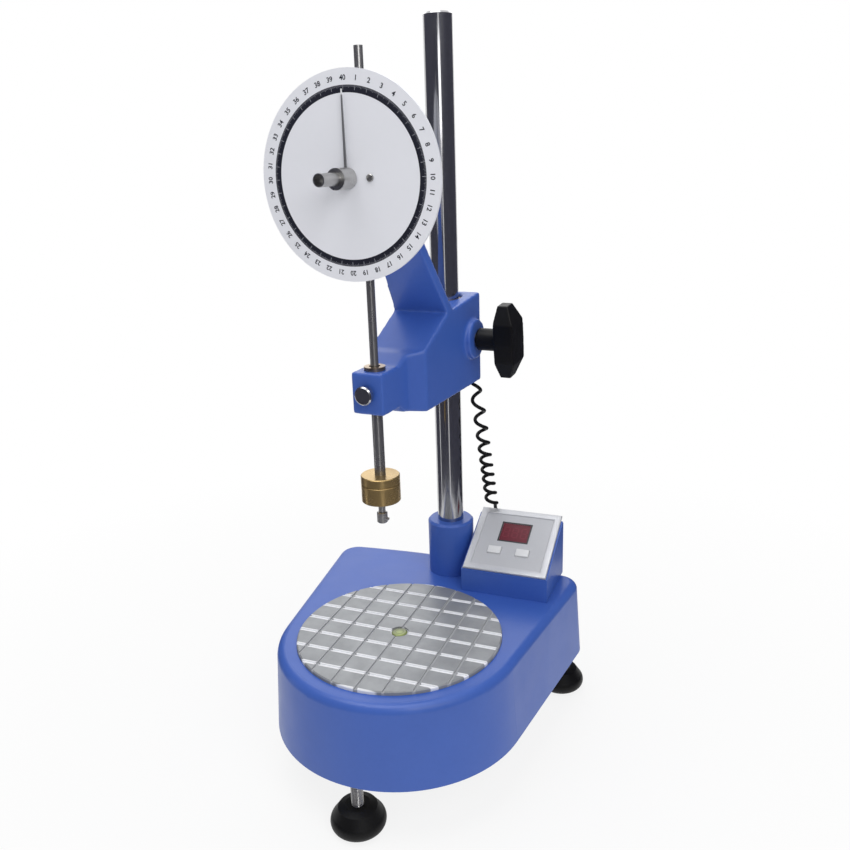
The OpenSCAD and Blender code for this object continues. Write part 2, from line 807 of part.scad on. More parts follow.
module pillar_bush_lower() { pillar_bush(bush_low, bush_len); }
module pillar_bush_upper() { pillar_bush(bush_high, bush_len); }

// Side outline of the arm from the plunger block to the pillar clamp, in Y and Z
module arm_side() {
  polygon([[block_front, block_low], [block_front, block_top], [block_back, block_top],
    [-arm_shoulder - 8, arm_front_h - 1.5], [-arm_shoulder, arm_front_h], [-arm_fold, arm_fold_h],
    [arm_back, arm_back_h], [arm_back, 0], [-arm_shoulder + 2, 0], [-arm_shoulder - 17, 3.5],
    [block_back, block_low]]);
}

// Plan outline of the arm
module arm_plan() {
  half = arm_w / 2;
  narrow = block_w / 2;
  polygon([[-narrow, block_front], [narrow, block_front], [narrow, -arm_shoulder - 10],
    [half, -arm_shoulder], [half, arm_back], [-half, arm_back], [-half, -arm_shoulder],
    [-narrow, -arm_shoulder - 10]]);
}

// Strut that leans forward from the arm to the gear housing
module strut() {
  intersection() {
    rotate([90, 0, 90]) translate([0, 0, -arm_w / 2]) linear_extrude(arm_w)
      polygon([[-arm_fold, arm_fold_h], [housing_back, strut_meet], [housing_back, strut_top],
        [housing_back + strut_t, strut_top], [housing_back + strut_t, strut_meet],
        [-arm_fold + strut_t, arm_fold_h], [-arm_fold + strut_t, arm_front_h],
        [-arm_fold, arm_front_h]]);
    rotate([90, 0, 0]) linear_extrude(arm_reach + 20)
      polygon([[-arm_w / 2, 0], [arm_w / 2, 0], [arm_w / 2, arm_fold_h],
        [strut_top_w / 2, strut_top], [-strut_top_w / 2, strut_top], [-arm_w / 2, arm_fold_h]]);
  }
}

module head_casting() {
  color(paint) at_head() difference() {
    union() {
      intersection() {
        rotate([90, 0, 90]) translate([0, 0, -arm_w / 2]) linear_extrude(arm_w) arm_side();
        linear_extrude(arm_back_h + 1) arm_plan();
      }
      strut();
      bar_x(0, clamp_h, arm_w / 2 - 1, arm_w / 2 + clamp_boss_t, clamp_boss_d);
    }
    // Pillar bore with its two bush seats
    translate([0, 0, -1]) cylinder(d = pillar_d + 2 * free_gap, h = arm_back_h + 2);
    translate([0, 0, bush_low]) cylinder(d = bush_d + 2 * run_gap, h = bush_len);
    translate([0, 0, bush_high]) cylinder(d = bush_d + 2 * run_gap, h = arm_back_h);
    // Clamp screw
    bar_x(0, clamp_h, pillar_d / 2 - 1, arm_w / 2 + clamp_boss_t + 1, clamp_stud_d + 2 * run_gap);
    // Plunger bore with its two bush seats
    translate([0, -arm_reach, 0]) cylinder(d = plunger_d + 2, h = block_top + 1);
    translate([0, -arm_reach, block_low - 1]) cylinder(d = plunger_bush_d, h = lower_bush_len + 1);
    translate([0, -arm_reach, block_top - upper_bush_len])
      cylinder(d = plunger_bush_d, h = upper_bush_len + 1);
    // Channel of the brake bar, the button hole and the solenoid space
    translate([-bar_w / 2 - free_gap, bar_front - free_gap, release_h - bar_t / 2 - free_gap])
      cube([bar_w + 2 * free_gap, cavity_front - bar_front + 1, bar_t + 2 * free_gap]);
    bar_y(0, release_h, block_front - 1, bar_front + button_travel + free_gap, armature_d + 2 * run_gap);
    translate([-cavity_w / 2, cavity_front, -1])
      cube([cavity_w, cavity_end - cavity_front, cavity_top + 1]);
    translate([-cavity_w / 2 - 3, cavity_front - 2, -1])
      cube([cavity_w + 6, cavity_end - cavity_front + 5, cover_t + 1]);
    // Cord pocket
    translate([gland_place.x, gland_place.y, -1]) cylinder(d = head_gland_d, h = lead_pocket + 1);
    // Screws of the gear housing
    for (x = housing_screw_x)
      bar_y(x, housing_screw_z, housing_back - 1, housing_back + strut_t + 1, housing_screw_d);
  }
}

module arm_cover() {
  color(paint) at_head() translate([-cavity_w / 2 - 3, cavity_front - 2, 0])
    cube([cavity_w + 6, cavity_end - cavity_front + 5, cover_t]);
}

module plunger_bush_lower() {
  color(brass) at_head() translate([0, -arm_reach, block_low]) difference() {
    cylinder(d = plunger_bush_d, h = lower_bush_len);
    translate([0, 0, -1]) cylinder(d = plunger_d + 2 * run_gap, h = lower_bush_len + 2);
  }
}

module plunger_bush_upper() {
  color(brass) at_head() translate([0, -arm_reach, block_top]) difference() {
    union() {
      cylinder(d = plunger_bush_d + 4, h = 3);
      translate([0, 0, -upper_bush_len]) cylinder(d = plunger_bush_d, h = upper_bush_len);
    }
    translate([0, 0, -upper_bush_len - 1])
      cylinder(d = plunger_d + 2 * run_gap, h = upper_bush_len + 5);
  }
}

module solenoid() {
  color([0.55, 0.4, 0.2]) at_head() difference() {
    union() {
      bar_y(0, release_h, solenoid_front, solenoid_back, coil_d);
      translate([-coil_d / 2, solenoid_front, release_h]) cube([coil_d, coil_len, cavity_top - release_h]);
    }
    bar_y(0, release_h, solenoid_front - 1, solenoid_back + 1, armature_d + 2 * free_gap);
  }
}

module clamp_pad() {
  inner = pillar_d / 2 + free_gap;
  color(brass) at_head() bar_x(0, clamp_h, inner, inner + clamp_pad_t, clamp_stud_d);
}

module clamp_stud() {
  inner = pillar_d / 2 + clamp_pad_t + 2 * free_gap;
  color(steel) at_head() bar_x(0, clamp_h, inner, knob_in - knob_socket, clamp_stud_d);
}

module clamp_knob() {
  half = knob_span / 2;
  wide = knob_w / 2;
  neck_in = arm_w / 2 + clamp_boss_t + 1.5;
  color(black) at_head() translate([0, 0, clamp_h]) rotate([knob_turn, 0, 0]) difference() {
    union() {
      intersection() {
        translate([knob_in, 0, 0]) rotate([90, 0, 90]) linear_extrude(knob_t)
          polygon([[-wide * 0.42, -half], [wide * 0.42, -half], [wide * 0.95, -half * 0.52],
            [wide, 0], [wide * 0.95, half * 0.52], [wide * 0.42, half], [-wide * 0.42, half],
            [-wide * 0.95, half * 0.52], [-wide, 0], [-wide * 0.95, -half * 0.52]]);
        translate([knob_in, wide, 0]) rotate([90, 0, 0]) linear_extrude(knob_w)
          polygon([[0, -half * 0.6], [knob_t * 0.12, -half], [knob_t * 0.66, -half],
            [knob_t, -half * 0.55], [knob_t, half * 0.55], [knob_t * 0.66, half],
            [knob_t * 0.12, half], [0, half * 0.6]]);
      }
      bar_x(0, 0, neck_in, knob_in + 2, knob_neck_d);
    }
    bar_x(0, 0, neck_in - 1, knob_in - knob_socket, clamp_stud_d);
  }
}

module head_gland() {
  color(black) at_head() translate([gland_place.x, gland_place.y, lead_pocket - head_gland_t])
    cylinder(d = head_gland_d, h = head_gland_t);
}

module gear_housing() {
  left = dial_x - housing_w / 2;
  color(paint) at_head() difference() {
    translate([left, housing_front, housing_low])
      cube([housing_w, housing_back - housing_front, housing_h]);
    translate([0, -arm_reach, housing_low - 1]) cylinder(d = rack_d + 2 * run_gap, h = housing_h + 2);
    bar_y(dial_x, dial_h, housing_front - 1, cavity_back, 2 * (pitch_r + addendum) + 1.4);
    bar_y(dial_x, dial_h, cavity_back - 1, arbor_back, arbor_bush_d);
    for (x = dial_screw_x) bar_y(x, dial_h, housing_front - 1, housing_front + 9, dial_screw_d);
    for (x = housing_screw_x)
      bar_y(x, housing_screw_z, housing_back - 7, housing_back + 1, housing_screw_d);
  }
}

module housing_screws() {
  color(steel) at_head() for (x = housing_screw_x) {
    bar_y(x, housing_screw_z, housing_back - 6, housing_back + strut_t, housing_screw_d);
    bar_y(x, housing_screw_z, housing_back + strut_t, housing_back + strut_t + 3, 7.5);
  }
}

module dial_carrier() {
  color(silver) at_head() difference() {
    bar_y(dial_x, dial_h, carrier_front, housing_front, 2 * dial_screw_reach + 12);
    bar_y(dial_x, dial_h, carrier_front - 1, housing_front + 1, arbor_d + 2 * run_gap);
    for (x = dial_screw_x) bar_y(x, dial_h, carrier_front - 1, housing_front + 1, dial_screw_d);
  }
}

module dial() {
  color([0.9, 0.91, 0.92]) at_head() difference() {
    bar_y(dial_x, dial_h, dial_front, carrier_front, dial_d);
    bar_y(dial_x, dial_h, dial_front - 1, carrier_front + 1, arbor_d + 2);
    for (x = dial_screw_x) bar_y(x, dial_h, dial_front - 1, carrier_front + 1, dial_screw_d);
  }
}

module dial_screws() {
  color(steel) at_head() for (x = dial_screw_x) {
    bar_y(x, dial_h, dial_front - 1.6, dial_front, 5.6);
    bar_y(x, dial_h, dial_front, housing_front + 8, dial_screw_d);
  }
}

module arbor_bush() {
  color(brass) at_head() difference() {
    bar_y(dial_x, dial_h, cavity_back, arbor_back, arbor_bush_d);
    bar_y(dial_x, dial_h, cavity_back - 1, arbor_back + 1, arbor_d + 2 * run_gap);
  }
}

module arbor() {
  color(steel) at_head() bar_y(dial_x, dial_h, hub_front + 4, arbor_back - 0.5, arbor_d);
}

// One tooth of the pinion as corner points round the centre
function tooth(i) = let(
    step = 360 / pinion_teeth,
    turn = i * step,
    root = pitch_r - dedendum,
    tip = pitch_r + addendum,
    thick = rack_pitch * 0.4,
    root_half = (thick / 2 + dedendum * tan(20)) / root * 180 / PI,
    tip_half = (thick / 2 - addendum * tan(20)) / tip * 180 / PI)
  [for (c = [[root, -root_half], [tip, -tip_half], [tip, tip_half], [root, root_half]])
    c[0] * [cos(turn + c[1]), sin(turn + c[1])]];

module pinion() {
  color(brass) at_head() difference() {
    translate([dial_x, pinion_back, dial_h]) rotate([90, 0, 0]) linear_extrude(pinion_w)
      polygon([for (i = [0 : pinion_teeth - 1]) each tooth(i)]);
    bar_y(dial_x, dial_h, pinion_front - 1, pinion_back + 1, arbor_d);
  }
}

module pointer_hub() {
  color(steel) at_head() difference() {
    union() {
      bar_y(dial_x, dial_h, hub_front, hub_back, hub_d);
      bar_y(dial_x, dial_h, stem_front, hub_front, stem_d);
    }
    bar_y(dial_x, dial_h, hub_front + 4, hub_back + 1, arbor_d);
    bar_y(dial_x, dial_h, stem_front - 1, stem_front + 8, stem_d - 2);
  }
}

module pointer() {
  thin = 0.8;
  color([0.6, 0.62, 0.64]) at_head() difference() {
    translate([dial_x, hub_back - 1.6, dial_h]) rotate([90, 0, 0]) linear_extrude(thin)
      polygon([[-1.1, hub_d / 2 - 1], [1.1, hub_d / 2 - 1], [0.6, pointer_len - 10], [0.4, pointer_len],
        [-0.4, pointer_len], [-0.6, pointer_len - 10]]);
    bar_y(dial_x, dial_h, hub_front, hub_back + 1, hub_d);
  }
}

module rack_rod() {
  mesh_low = dial_h - plunger_travel - 6;
  count = ceil((plunger_travel + 12) / rack_pitch);
  tip_x = -rack_pitch_x - addendum;
  root_x = -rack_pitch_x + dedendum;
  half = rack_pitch * 0.29;
  mouth = half + (addendum + 1) * tan(20);
  first = dial_h - floor((dial_h - mesh_low) / rack_pitch) * rack_pitch;
  color(steel) at_head() translate([0, -arm_reach, 0]) difference() {
    translate([0, 0, plunger_top]) cylinder(d = rack_d, h = rack_top - plunger_top);
    translate([-rack_d, -rack_d, mesh_low]) cube([rack_d + tip_x, 2 * rack_d, plunger_travel + 12]);
    for (i = [0 : count - 1]) translate([0, rack_d, first + i * rack_pitch]) rotate([90, 0, 0])
      linear_extrude(2 * rack_d)
        polygon([[tip_x - 1, -mouth], [root_x, -half + dedendum * tan(20)],
          [root_x, half - dedendum * tan(20)], [tip_x - 1, mouth]]);
  }
}

module plunger() {
  color(steel) at_head() translate([0, -arm_reach, 0]) {
    translate([0, 0, weight_top]) cylinder(d = plunger_d, h = plunger_top - weight_top);
    translate([0, 0, chuck_top - chuck_grip])
      cylinder(d = spigot_d, h = weight_top - chuck_top + chuck_grip);
  }
}

// Ring-shaped brass weight on the plunger's spigot
module ring_weight(low, thick) {
  rim = weight_d / 2;
  color(brass) at_head() translate([0, -arm_reach, low]) difference() {
    rotate_extrude()
      polygon([[0, 0], [rim - 0.6, 0], [rim, 0.6], [rim, thick - 0.6], [rim - 0.6, thick], [0, thick]]);
    translate([0, 0, -1]) cylinder(d = spigot_d, h = thick + 2);
  }
}

module weight_50g() { ring_weight(weight_top - weight_small_t, weight_small_t); }
module weight_100g() { ring_weight(weight_low, weight_large_t); }

module needle_chuck() {
  rim = chuck_d / 2;
  color(steel) at_head() translate([0, -arm_reach, chuck_low]) difference() {
    rotate_extrude()
      polygon([[0, 0], [rim - 0.8, 0], [rim, 0.8], [rim, chuck_len - 0.8], [rim - 0.8, chuck_len],
        [0, chuck_len]]);
    translate([0, 0, chuck_len - chuck_grip]) cylinder(d = spigot_d, h = chuck_grip + 1);
    translate([0, 0, -1]) cylinder(d = ferrule_d + 2 * run_gap, h = chuck_len - chuck_grip);
    bar_x(0, chuck_screw_z, 0, chuck_d, chuck_screw_d);
  }
}

module chuck_screw() {
  color(steel) at_head() translate([0, -arm_reach, chuck_low])
    bar_x(0, chuck_screw_z, ferrule_d / 2 + 0.6, chuck_d / 2 + 1.6, chuck_screw_d);
}

module release_button() {
  back = block_front - button_travel - free_gap;
  rim = button_d / 2;
  color(steel) at_head() {
    translate([0, back, release_h]) rotate([90, 0, 0]) rotate_extrude()
      polygon([[0, 0], [rim, 0], [rim, button_t - 1], [rim - 1, button_t], [0, button_t]]);
    bar_y(0, release_h, back, bar_front, armature_d);
  }
}

module brake_bar() {
  slot_w = plunger_d + 1;
  color(steel) at_head() {
    difference() {
      translate([-bar_w / 2, bar_front, release_h - bar_t / 2]) cube([bar_w, bar_back - bar_front, bar_t]);
      translate([-slot_w / 2, -arm_reach - plunger_d / 2 - button_travel - free_gap, release_h - bar_t])
        cube([slot_w, plunger_d + button_travel + 2 * free_gap, 2 * bar_t]);
    }
    bar_y(0, release_h, bar_back, solenoid_front + coil_len / 2, armature_d);
  }
}

module cord_lead() {
  color(black) at_head() translate([gland_place.x, gland_place.y, lead_low])
    cylinder(d = cord_d, h = lead_pocket - head_gland_t - lead_low);
}

// Directions along a route, with both ends square to what they meet
function along(p, i) = i == 0 ? unit(p[1] - p[0])
  : i == len(p) - 1 ? unit(p[i] - p[i - 1]) : unit(p[i + 1] - p[i - 1]);
function square_to(n, t) = unit(n - (n * t) * t);
function side_vectors(p) = [for (i = 0, n = square_to([1, 0, 0], along(p, 0)); i < len(p);
  i = i + 1, n = i < len(p) ? square_to(n, along(p, i)) : n) n];

// Tube of flat sides through the points
module swept_tube(p, radius, sides) {
  across = side_vectors(p);
  last = len(p) - 1;
  rings = [for (i = [0 : last]) let(t = along(p, i), n = across[i], b = cross(t, n))
    for (k = [0 : sides - 1]) p[i] + radius * (cos(360 * k / sides) * n + sin(360 * k / sides) * b)];
  walls = [for (i = [0 : last - 1], k = [0 : sides - 1])
    let(a = i * sides + k, b = i * sides + (k + 1) % sides)
    each [[a, b + sides, b], [a, a + sides, b + sides]]];
  end = last * sides;
  caps = [for (k = [1 : sides - 2]) each [[0, k, k + 1], [end, end + k + 1, end + k]]];
  polyhedron(rings, concat(walls, caps));
}

module curly_cord() {
  color(black) swept_tube(cord_points, cord_r, 6);
}

base_casting();
base_plate();
base_plate_screws();
table();
level_cup();
level_glass();
pillar();
pillar_bolt();
foot_stud_front();
foot_stud_left();
foot_stud_right();
foot_pad_front();
foot_pad_left();
foot_pad_right();
timer_case();
timer_bezel();
timer_panel();
display_window();
display_module();
timer_board();
transformer();
mains_inlet();
timer_gland();
timer_screws();
key_left();
key_right();
pillar_bush_lower();
pillar_bush_upper();
head_casting();
arm_cover();
plunger_bush_lower();
plunger_bush_upper();
solenoid();
clamp_pad();
clamp_stud();
clamp_knob();
head_gland();
gear_housing();
housing_screws();
dial_carrier();
dial();
dial_screws();
arbor_bush();
arbor();
pinion();
pointer_hub();
pointer();
rack_rod();
plunger();
weight_50g();
weight_100g();
needle_chuck();
chuck_screw();
release_button();
brake_bar();
cord_lead();
curly_cord();
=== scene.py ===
"""Finishes and fine pieces of a bench penetrometer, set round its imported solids."""

import json
import math

import bmesh
import bpy
from mathutils import Matrix, Vector


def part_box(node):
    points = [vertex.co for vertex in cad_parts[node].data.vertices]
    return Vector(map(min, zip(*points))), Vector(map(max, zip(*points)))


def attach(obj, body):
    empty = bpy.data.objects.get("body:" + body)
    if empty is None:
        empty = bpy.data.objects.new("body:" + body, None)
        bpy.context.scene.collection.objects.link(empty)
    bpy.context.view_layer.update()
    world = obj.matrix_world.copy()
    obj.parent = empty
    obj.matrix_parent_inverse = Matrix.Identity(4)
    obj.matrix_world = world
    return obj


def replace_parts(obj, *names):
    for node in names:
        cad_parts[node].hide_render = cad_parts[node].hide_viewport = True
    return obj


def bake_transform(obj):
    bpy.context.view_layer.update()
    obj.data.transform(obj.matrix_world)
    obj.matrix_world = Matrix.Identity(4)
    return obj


bl_info = {
    "name": "Bench Penetrometer",
    "version": (1, 0, 0),
    "blender": (4, 5, 0),
    "location": "3D View > Sidebar > Penetrometer",
    "description": "Dresses the solids of a bench penetrometer with finishes and fine pieces",
    "category": "Object",
}

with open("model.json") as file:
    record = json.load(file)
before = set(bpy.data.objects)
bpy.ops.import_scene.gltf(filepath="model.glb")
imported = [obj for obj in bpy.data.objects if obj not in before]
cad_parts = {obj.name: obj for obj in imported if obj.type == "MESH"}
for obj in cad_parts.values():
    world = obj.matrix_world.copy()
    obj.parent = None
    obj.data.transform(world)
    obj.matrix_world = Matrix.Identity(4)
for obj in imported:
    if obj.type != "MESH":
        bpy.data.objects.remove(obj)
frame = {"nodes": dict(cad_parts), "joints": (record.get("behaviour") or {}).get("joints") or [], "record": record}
NODES = frame["nodes"]
JOINTS = {joint["name"]: joint for joint in frame["joints"]}
BODIES = frame["record"]["behaviour"]["bodies"]
BODY_OF = {node: body for body, nodes in BODIES.items() for node in nodes}
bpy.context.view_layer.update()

MM = 0.001
RIGHT, BACK, UPRIGHT = Vector((1, 0, 0)), Vector((0, 1, 0)), Vector((0, 0, 1))
HEAD_BACK = Vector(JOINTS["arbor_spin"]["axis"]).normalized()
HEAD_RIGHT = HEAD_BACK.cross(UPRIGHT)
ARBOR_AXIS = Vector(JOINTS["arbor_spin"]["pos_m"])
PANEL_OUT = -Vector(JOINTS["key_left_press"]["axis"]).normalized()
PANEL_UP = Vector((0, PANEL_OUT.z, -PANEL_OUT.y))


def extent(node, direction):
    """Lowest and highest place of a CAD node along a direction."""
    places = [vertex.co.dot(direction) for vertex in NODES[node].data.vertices]
    return min(places), max(places)


# Settings


def setting(kind, name, description, default, **more):
    return kind(name=name, description=description, default=default, **more)


def length_setting(*words):
    return setting(bpy.props.FloatProperty, *words, unit="LENGTH")


def count_setting(*words):
    return setting(bpy.props.IntProperty, *words)


def colour_setting(*words):
    return setting(bpy.props.FloatVectorProperty, *words, subtype="COLOR")


def angle_setting(name, description, degrees):
    return setting(
        bpy.props.FloatProperty, name, description, math.radians(degrees), subtype="ANGLE")


def power_setting(*words):
    return setting(bpy.props.FloatProperty, *words, subtype="POWER")


class PenetrometerSizes(bpy.types.PropertyGroup):
    """Sizes of the fine pieces"""

    cord_d: length_setting("Cord Diameter", "Diameter of the curly cord", 3.4 * MM)
    curl_d: length_setting("Curl Diameter", "Outer diameter of the curls", 13.4 * MM)
    curls: count_setting("Curls", "Number of curls", 10)
    cord_sides: count_setting("Cord Sides", "Sides of the cord's section", 14)
    ring_inner: length_setting("Ring Inner Radius", "Inner radius of the black ring", 58.6 * MM)
    ring_outer: length_setting("Ring Outer Radius", "Outer radius of the black ring", 63.7 * MM)
    divisions: count_setting("Divisions", "Fine divisions round the dial", 400)
    numbers: count_setting("Numbers", "Numbers round the dial", 40)
    number_radius: length_setting("Number Radius", "Radius at the middle of the numbers", 68.4 * MM)
    number_h: length_setting("Number Height", "Font size of the numbers", 5.0 * MM)
    print_t: length_setting("Print Thickness", "Thickness of the printed ink", 0.06 * MM)
    casting_grid: length_setting("Casting Grid", "Grid that softens the castings' edges", 0.9 * MM)
    casting_passes: count_setting("Casting Passes", "Passes that soften the castings' edges", 32)
    thread_pitch: length_setting("Thread Pitch", "Pitch of the feet's studs", 1.5 * MM)


class PenetrometerColours(bpy.types.PropertyGroup):
    """Colours of the finishes"""

    enamel: colour_setting("Enamel", "Blue of the castings", (0.045, 0.12, 0.48))
    lacquer: colour_setting("Dial Lacquer", "White of the dial", (0.86, 0.87, 0.93))
    ink: colour_setting("Ink", "Dark print on the dial", (0.012, 0.013, 0.026))
    steel: colour_setting("Steel", "Turned steel", (0.5, 0.495, 0.485))
    chrome: colour_setting("Chrome", "Plated pillar and button", (0.5, 0.5, 0.515))
    brass: colour_setting("Brass", "Brass weights", (0.53, 0.37, 0.16))
    bronze: colour_setting("Bronze", "Bronze bushes", (0.4, 0.31, 0.22))
    table: colour_setting("Table", "Ground table", (0.3, 0.31, 0.325))
    frame: colour_setting("Frame", "Satin frame of the timer", (0.6, 0.61, 0.64))
    film: colour_setting("Panel Film", "Printed film of the timer's panel", (0.53, 0.54, 0.575))
    moulding: colour_setting("Black Moulding", "Knob and feet", (0.005, 0.005, 0.0055))
    rubber: colour_setting("Cord Jacket", "Jacket of the cord", (0.005, 0.005, 0.0055))
    fluid: colour_setting("Level Fluid", "Fluid of the level", (0.36, 0.44, 0.12))


class PenetrometerStage(bpy.types.PropertyGroup):
    """Camera and light"""

    eye: setting(
        bpy.props.FloatVectorProperty, "Camera Place", "Where the camera stands",
        (0.2693, -0.6155, 0.5075), subtype="TRANSLATION")
    azimuth: angle_setting("Azimuth", "Turn of the camera round the object", 22.04)
    elevation: angle_setting("Elevation", "Height angle of the camera", 17.22)
    roll: angle_setting("Roll", "Roll of the camera", -2.0)
    lens: setting(bpy.props.FloatProperty, "Lens", "Focal length on a 36 mm sensor", 36.2)
    ambient: setting(
        bpy.props.FloatProperty, "Ambient", "Strength of the light from all round", 0.44)
    key_power: power_setting("Key Power", "Power of the soft light above", 16.0)
    fill_power: power_setting("Fill Power", "Power of the soft light in front", 6.6)
    back_power: power_setting("Back Power", "Power of the soft light behind", 4.0)
    box_power: power_setting("Box Power", "Power of the lamp that streaks the pillar", 0.135)
    floor_tone: colour_setting("Floor", "Tone of the floor", (0.86, 0.86, 0.86))


def sizes():
    return bpy.context.scene.penetrometer_sizes


def colours():
    return bpy.context.scene.penetrometer_colours


# Node helpers

COAT_ROUGHNESS = 0.12
BLACK_GLOSS = 0.22


def add(tree, kind, **settings):
    """A shader node with its settings."""
    node = tree.nodes.new(kind)
    for name, value in settings.items():
        setattr(node, name, value)
    return node


def feed(tree, source, target):
    """Links a socket to another, or sets a plain value on it."""
    if isinstance(source, bpy.types.NodeSocket):
        tree.links.new(source, target)
    else:
        target.default_value = source


def give(tree, node, **values):
    """Feeds a node's inputs by name, with underscores for spaces."""
    for name, value in values.items():
        feed(tree, value, node.inputs[name.replace("_", " ")])
    return node


def filled(tree, kind, *values, **settings):
    """First output of a new node whose inputs are fed in order."""
    node = add(tree, kind, **settings)
    for value, socket in zip(values, node.inputs):
        feed(tree, value, socket)
    return node.outputs[0]


def maths(tree, operation, *values):
    return filled(tree, "ShaderNodeMath", *values, operation=operation)


def times(tree, first, second):
    return maths(tree, "MULTIPLY", first, second)


def plus(tree, first, second):
    return maths(tree, "ADD", first, second)


def minus(tree, first, second):
    return maths(tree, "SUBTRACT", first, second)


def mix_colour(tree, factor, first, second):
    node = add(tree, "ShaderNodeMix", data_type="RGBA")
    named = {socket.identifier: socket for socket in node.inputs}
    feed(tree, factor, named["Factor_Float"])
    feed(tree, first, named["A_Color"])
    feed(tree, second, named["B_Color"])
    return next(socket for socket in node.outputs if socket.identifier == "Result_Color")


def spread(tree, value, low, high, to_low, to_high):
    """Maps a value from one range to another."""
    return filled(tree, "ShaderNodeMapRange", value, low, high, to_low, to_high)


def noise(tree, vector, scale, detail=3.0, roughness=0.55):
    node = add(tree, "ShaderNodeTexNoise")
    give(tree, node, Vector=vector, Scale=scale, Detail=detail, Roughness=roughness)
    return node.outputs[0]


def shaded(tree, colour, factor):
    """A colour times a factor."""
    node = add(tree, "ShaderNodeVectorMath", operation="SCALE")
    feed(tree, colour, node.inputs[0])
    feed(tree, factor, node.inputs["Scale"])
    return node.outputs[0]


def place_in(tree):
    return add(tree, "ShaderNodeTexCoord").outputs["Object"]


def measured(tree, operation, other):
    """Dot product of the shaded place with a direction, or its distance from a spot."""
    node = add(tree, "ShaderNodeVectorMath", operation=operation)
    feed(tree, place_in(tree), node.inputs[0])
    node.inputs[1].default_value = other
    return node.outputs["Value"]


def new_group(name, *values):
    """A group that takes a colour and named values and gives a colour, roughness and height."""
    group = bpy.data.node_groups.new(name, "ShaderNodeTree")
    for side, labels in (("INPUT", values), ("OUTPUT", ("Roughness", "Height"))):
        group.interface.new_socket(name="Colour", in_out=side, socket_type="NodeSocketColor")
        for label in labels:
            group.interface.new_socket(name=label, in_out=side, socket_type="NodeSocketFloat")
    return group, add(group, "NodeGroupInput").outputs, add(group, "NodeGroupOutput")


def skin_group():
    """Slow drift of tone, fine grain and handling marks, for paint, plastic and rubber."""
    group, given, out = new_group("Skin", "Drift", "Grain Scale", "Roughness", "Marks")
    slow_scale, speck_scale, mark_scale = 14.0, 260.0, 38.0
    slow_share, speck_share = 0.75, 0.25
    place = place_in(group)
    slow = times(group, noise(group, place, slow_scale, 4.0), slow_share)
    specks = times(group, noise(group, place, speck_scale, 2.0), speck_share)
    lift = spread(group, plus(group, slow, specks), 0.3, 0.7, -1.0, 1.0)
    factor = plus(group, 1.0, times(group, lift, given["Drift"]))
    marks = spread(group, noise(group, place, mark_scale, 2.0), 0.35, 0.7, -0.5, 1.0)
    marks = times(group, marks, given["Marks"])
    give(group, out, Colour=shaded(group, given["Colour"], factor),
         Roughness=plus(group, given["Roughness"], marks),
         Height=noise(group, place, given["Grain Scale"], 2.0))


def turned_group():
    """Fine rings left by a tool, along a chosen direction, for turned metal."""
    group, given, out = new_group(
        "Turned Metal", "Place", "Lines", "Contrast", "Roughness", "Stain")
    stain_scale, line_dulling, stain_dulling = 60.0, 0.5, 0.6
    along = add(group, "ShaderNodeCombineXYZ")
    give(group, along, X=times(group, given["Place"], given["Lines"]))
    lines = noise(group, along.outputs[0], 1.0, 3.0, 0.7)
    line_lift = times(group, spread(group, lines, 0.3, 0.7, -1.0, 1.0), given["Contrast"])
    stain = noise(group, place_in(group), stain_scale, 5.0, 0.6)
    stain_lift = times(group, spread(group, stain, 0.35, 0.75, 0.4, -1.0), given["Stain"])
    factor = plus(group, 1.0, plus(group, line_lift, stain_lift))
    rough = plus(group, given["Roughness"], times(group, line_lift, line_dulling))
    rough = minus(group, rough, times(group, stain_lift, stain_dulling))
    give(group, out, Colour=shaded(group, given["Colour"], factor), Roughness=rough, Height=lines)


def placed(tree, group, **values):
    """Outputs of an instance of a group with its own values."""
    node = add(tree, "ShaderNodeGroup", node_tree=bpy.data.node_groups[group])
    return give(tree, node, **values).outputs


def rgba(colour):
    return (*colour, 1.0)


def blank(name):
    material = bpy.data.materials.new(name)
    material.use_nodes = True
    return material, material.node_tree, material.node_tree.nodes["Principled BSDF"]


def bump(tree, height, depth):
    """A normal that follows a height."""
    node = add(tree, "ShaderNodeBump")
    return give(tree, node, Strength=1.0, Distance=depth, Height=height).outputs[0]


def skin_material(name, colour, roughness, drift=0.06, grain=700.0, depth=0.02 * MM, marks=0.08,
                  coat=0.0, gloss=0.5):
    """Paint, plastic, rubber or film."""
    material, tree, shader = blank(name)
    skin = placed(tree, "Skin", Colour=rgba(colour), Drift=drift, Grain_Scale=grain,
                  Roughness=roughness, Marks=marks)
    give(tree, shader, Base_Color=skin["Colour"], Roughness=skin["Roughness"], Coat_Weight=coat,
         Coat_Roughness=COAT_ROUGHNESS, Specular_IOR_Level=gloss,
         Normal=bump(tree, skin["Height"], depth))
    return material


def turned_material(name, colour, roughness, along, lines=2500.0, contrast=0.12, stain=0.1,
                    depth=0.002 * MM, metal=1.0):
    """Metal with tool rings that follow a direction."""
    material, tree, shader = blank(name)
    place = measured(tree, "DOT_PRODUCT", along)
    turned = placed(tree, "Turned Metal", Colour=rgba(colour), Place=place, Lines=lines,
                    Contrast=contrast, Roughness=roughness, Stain=stain)
    give(tree, shader, Base_Color=turned["Colour"], Roughness=turned["Roughness"], Metallic=metal,
         Normal=bump(tree, turned["Height"], depth))
    return material


# Mesh helpers


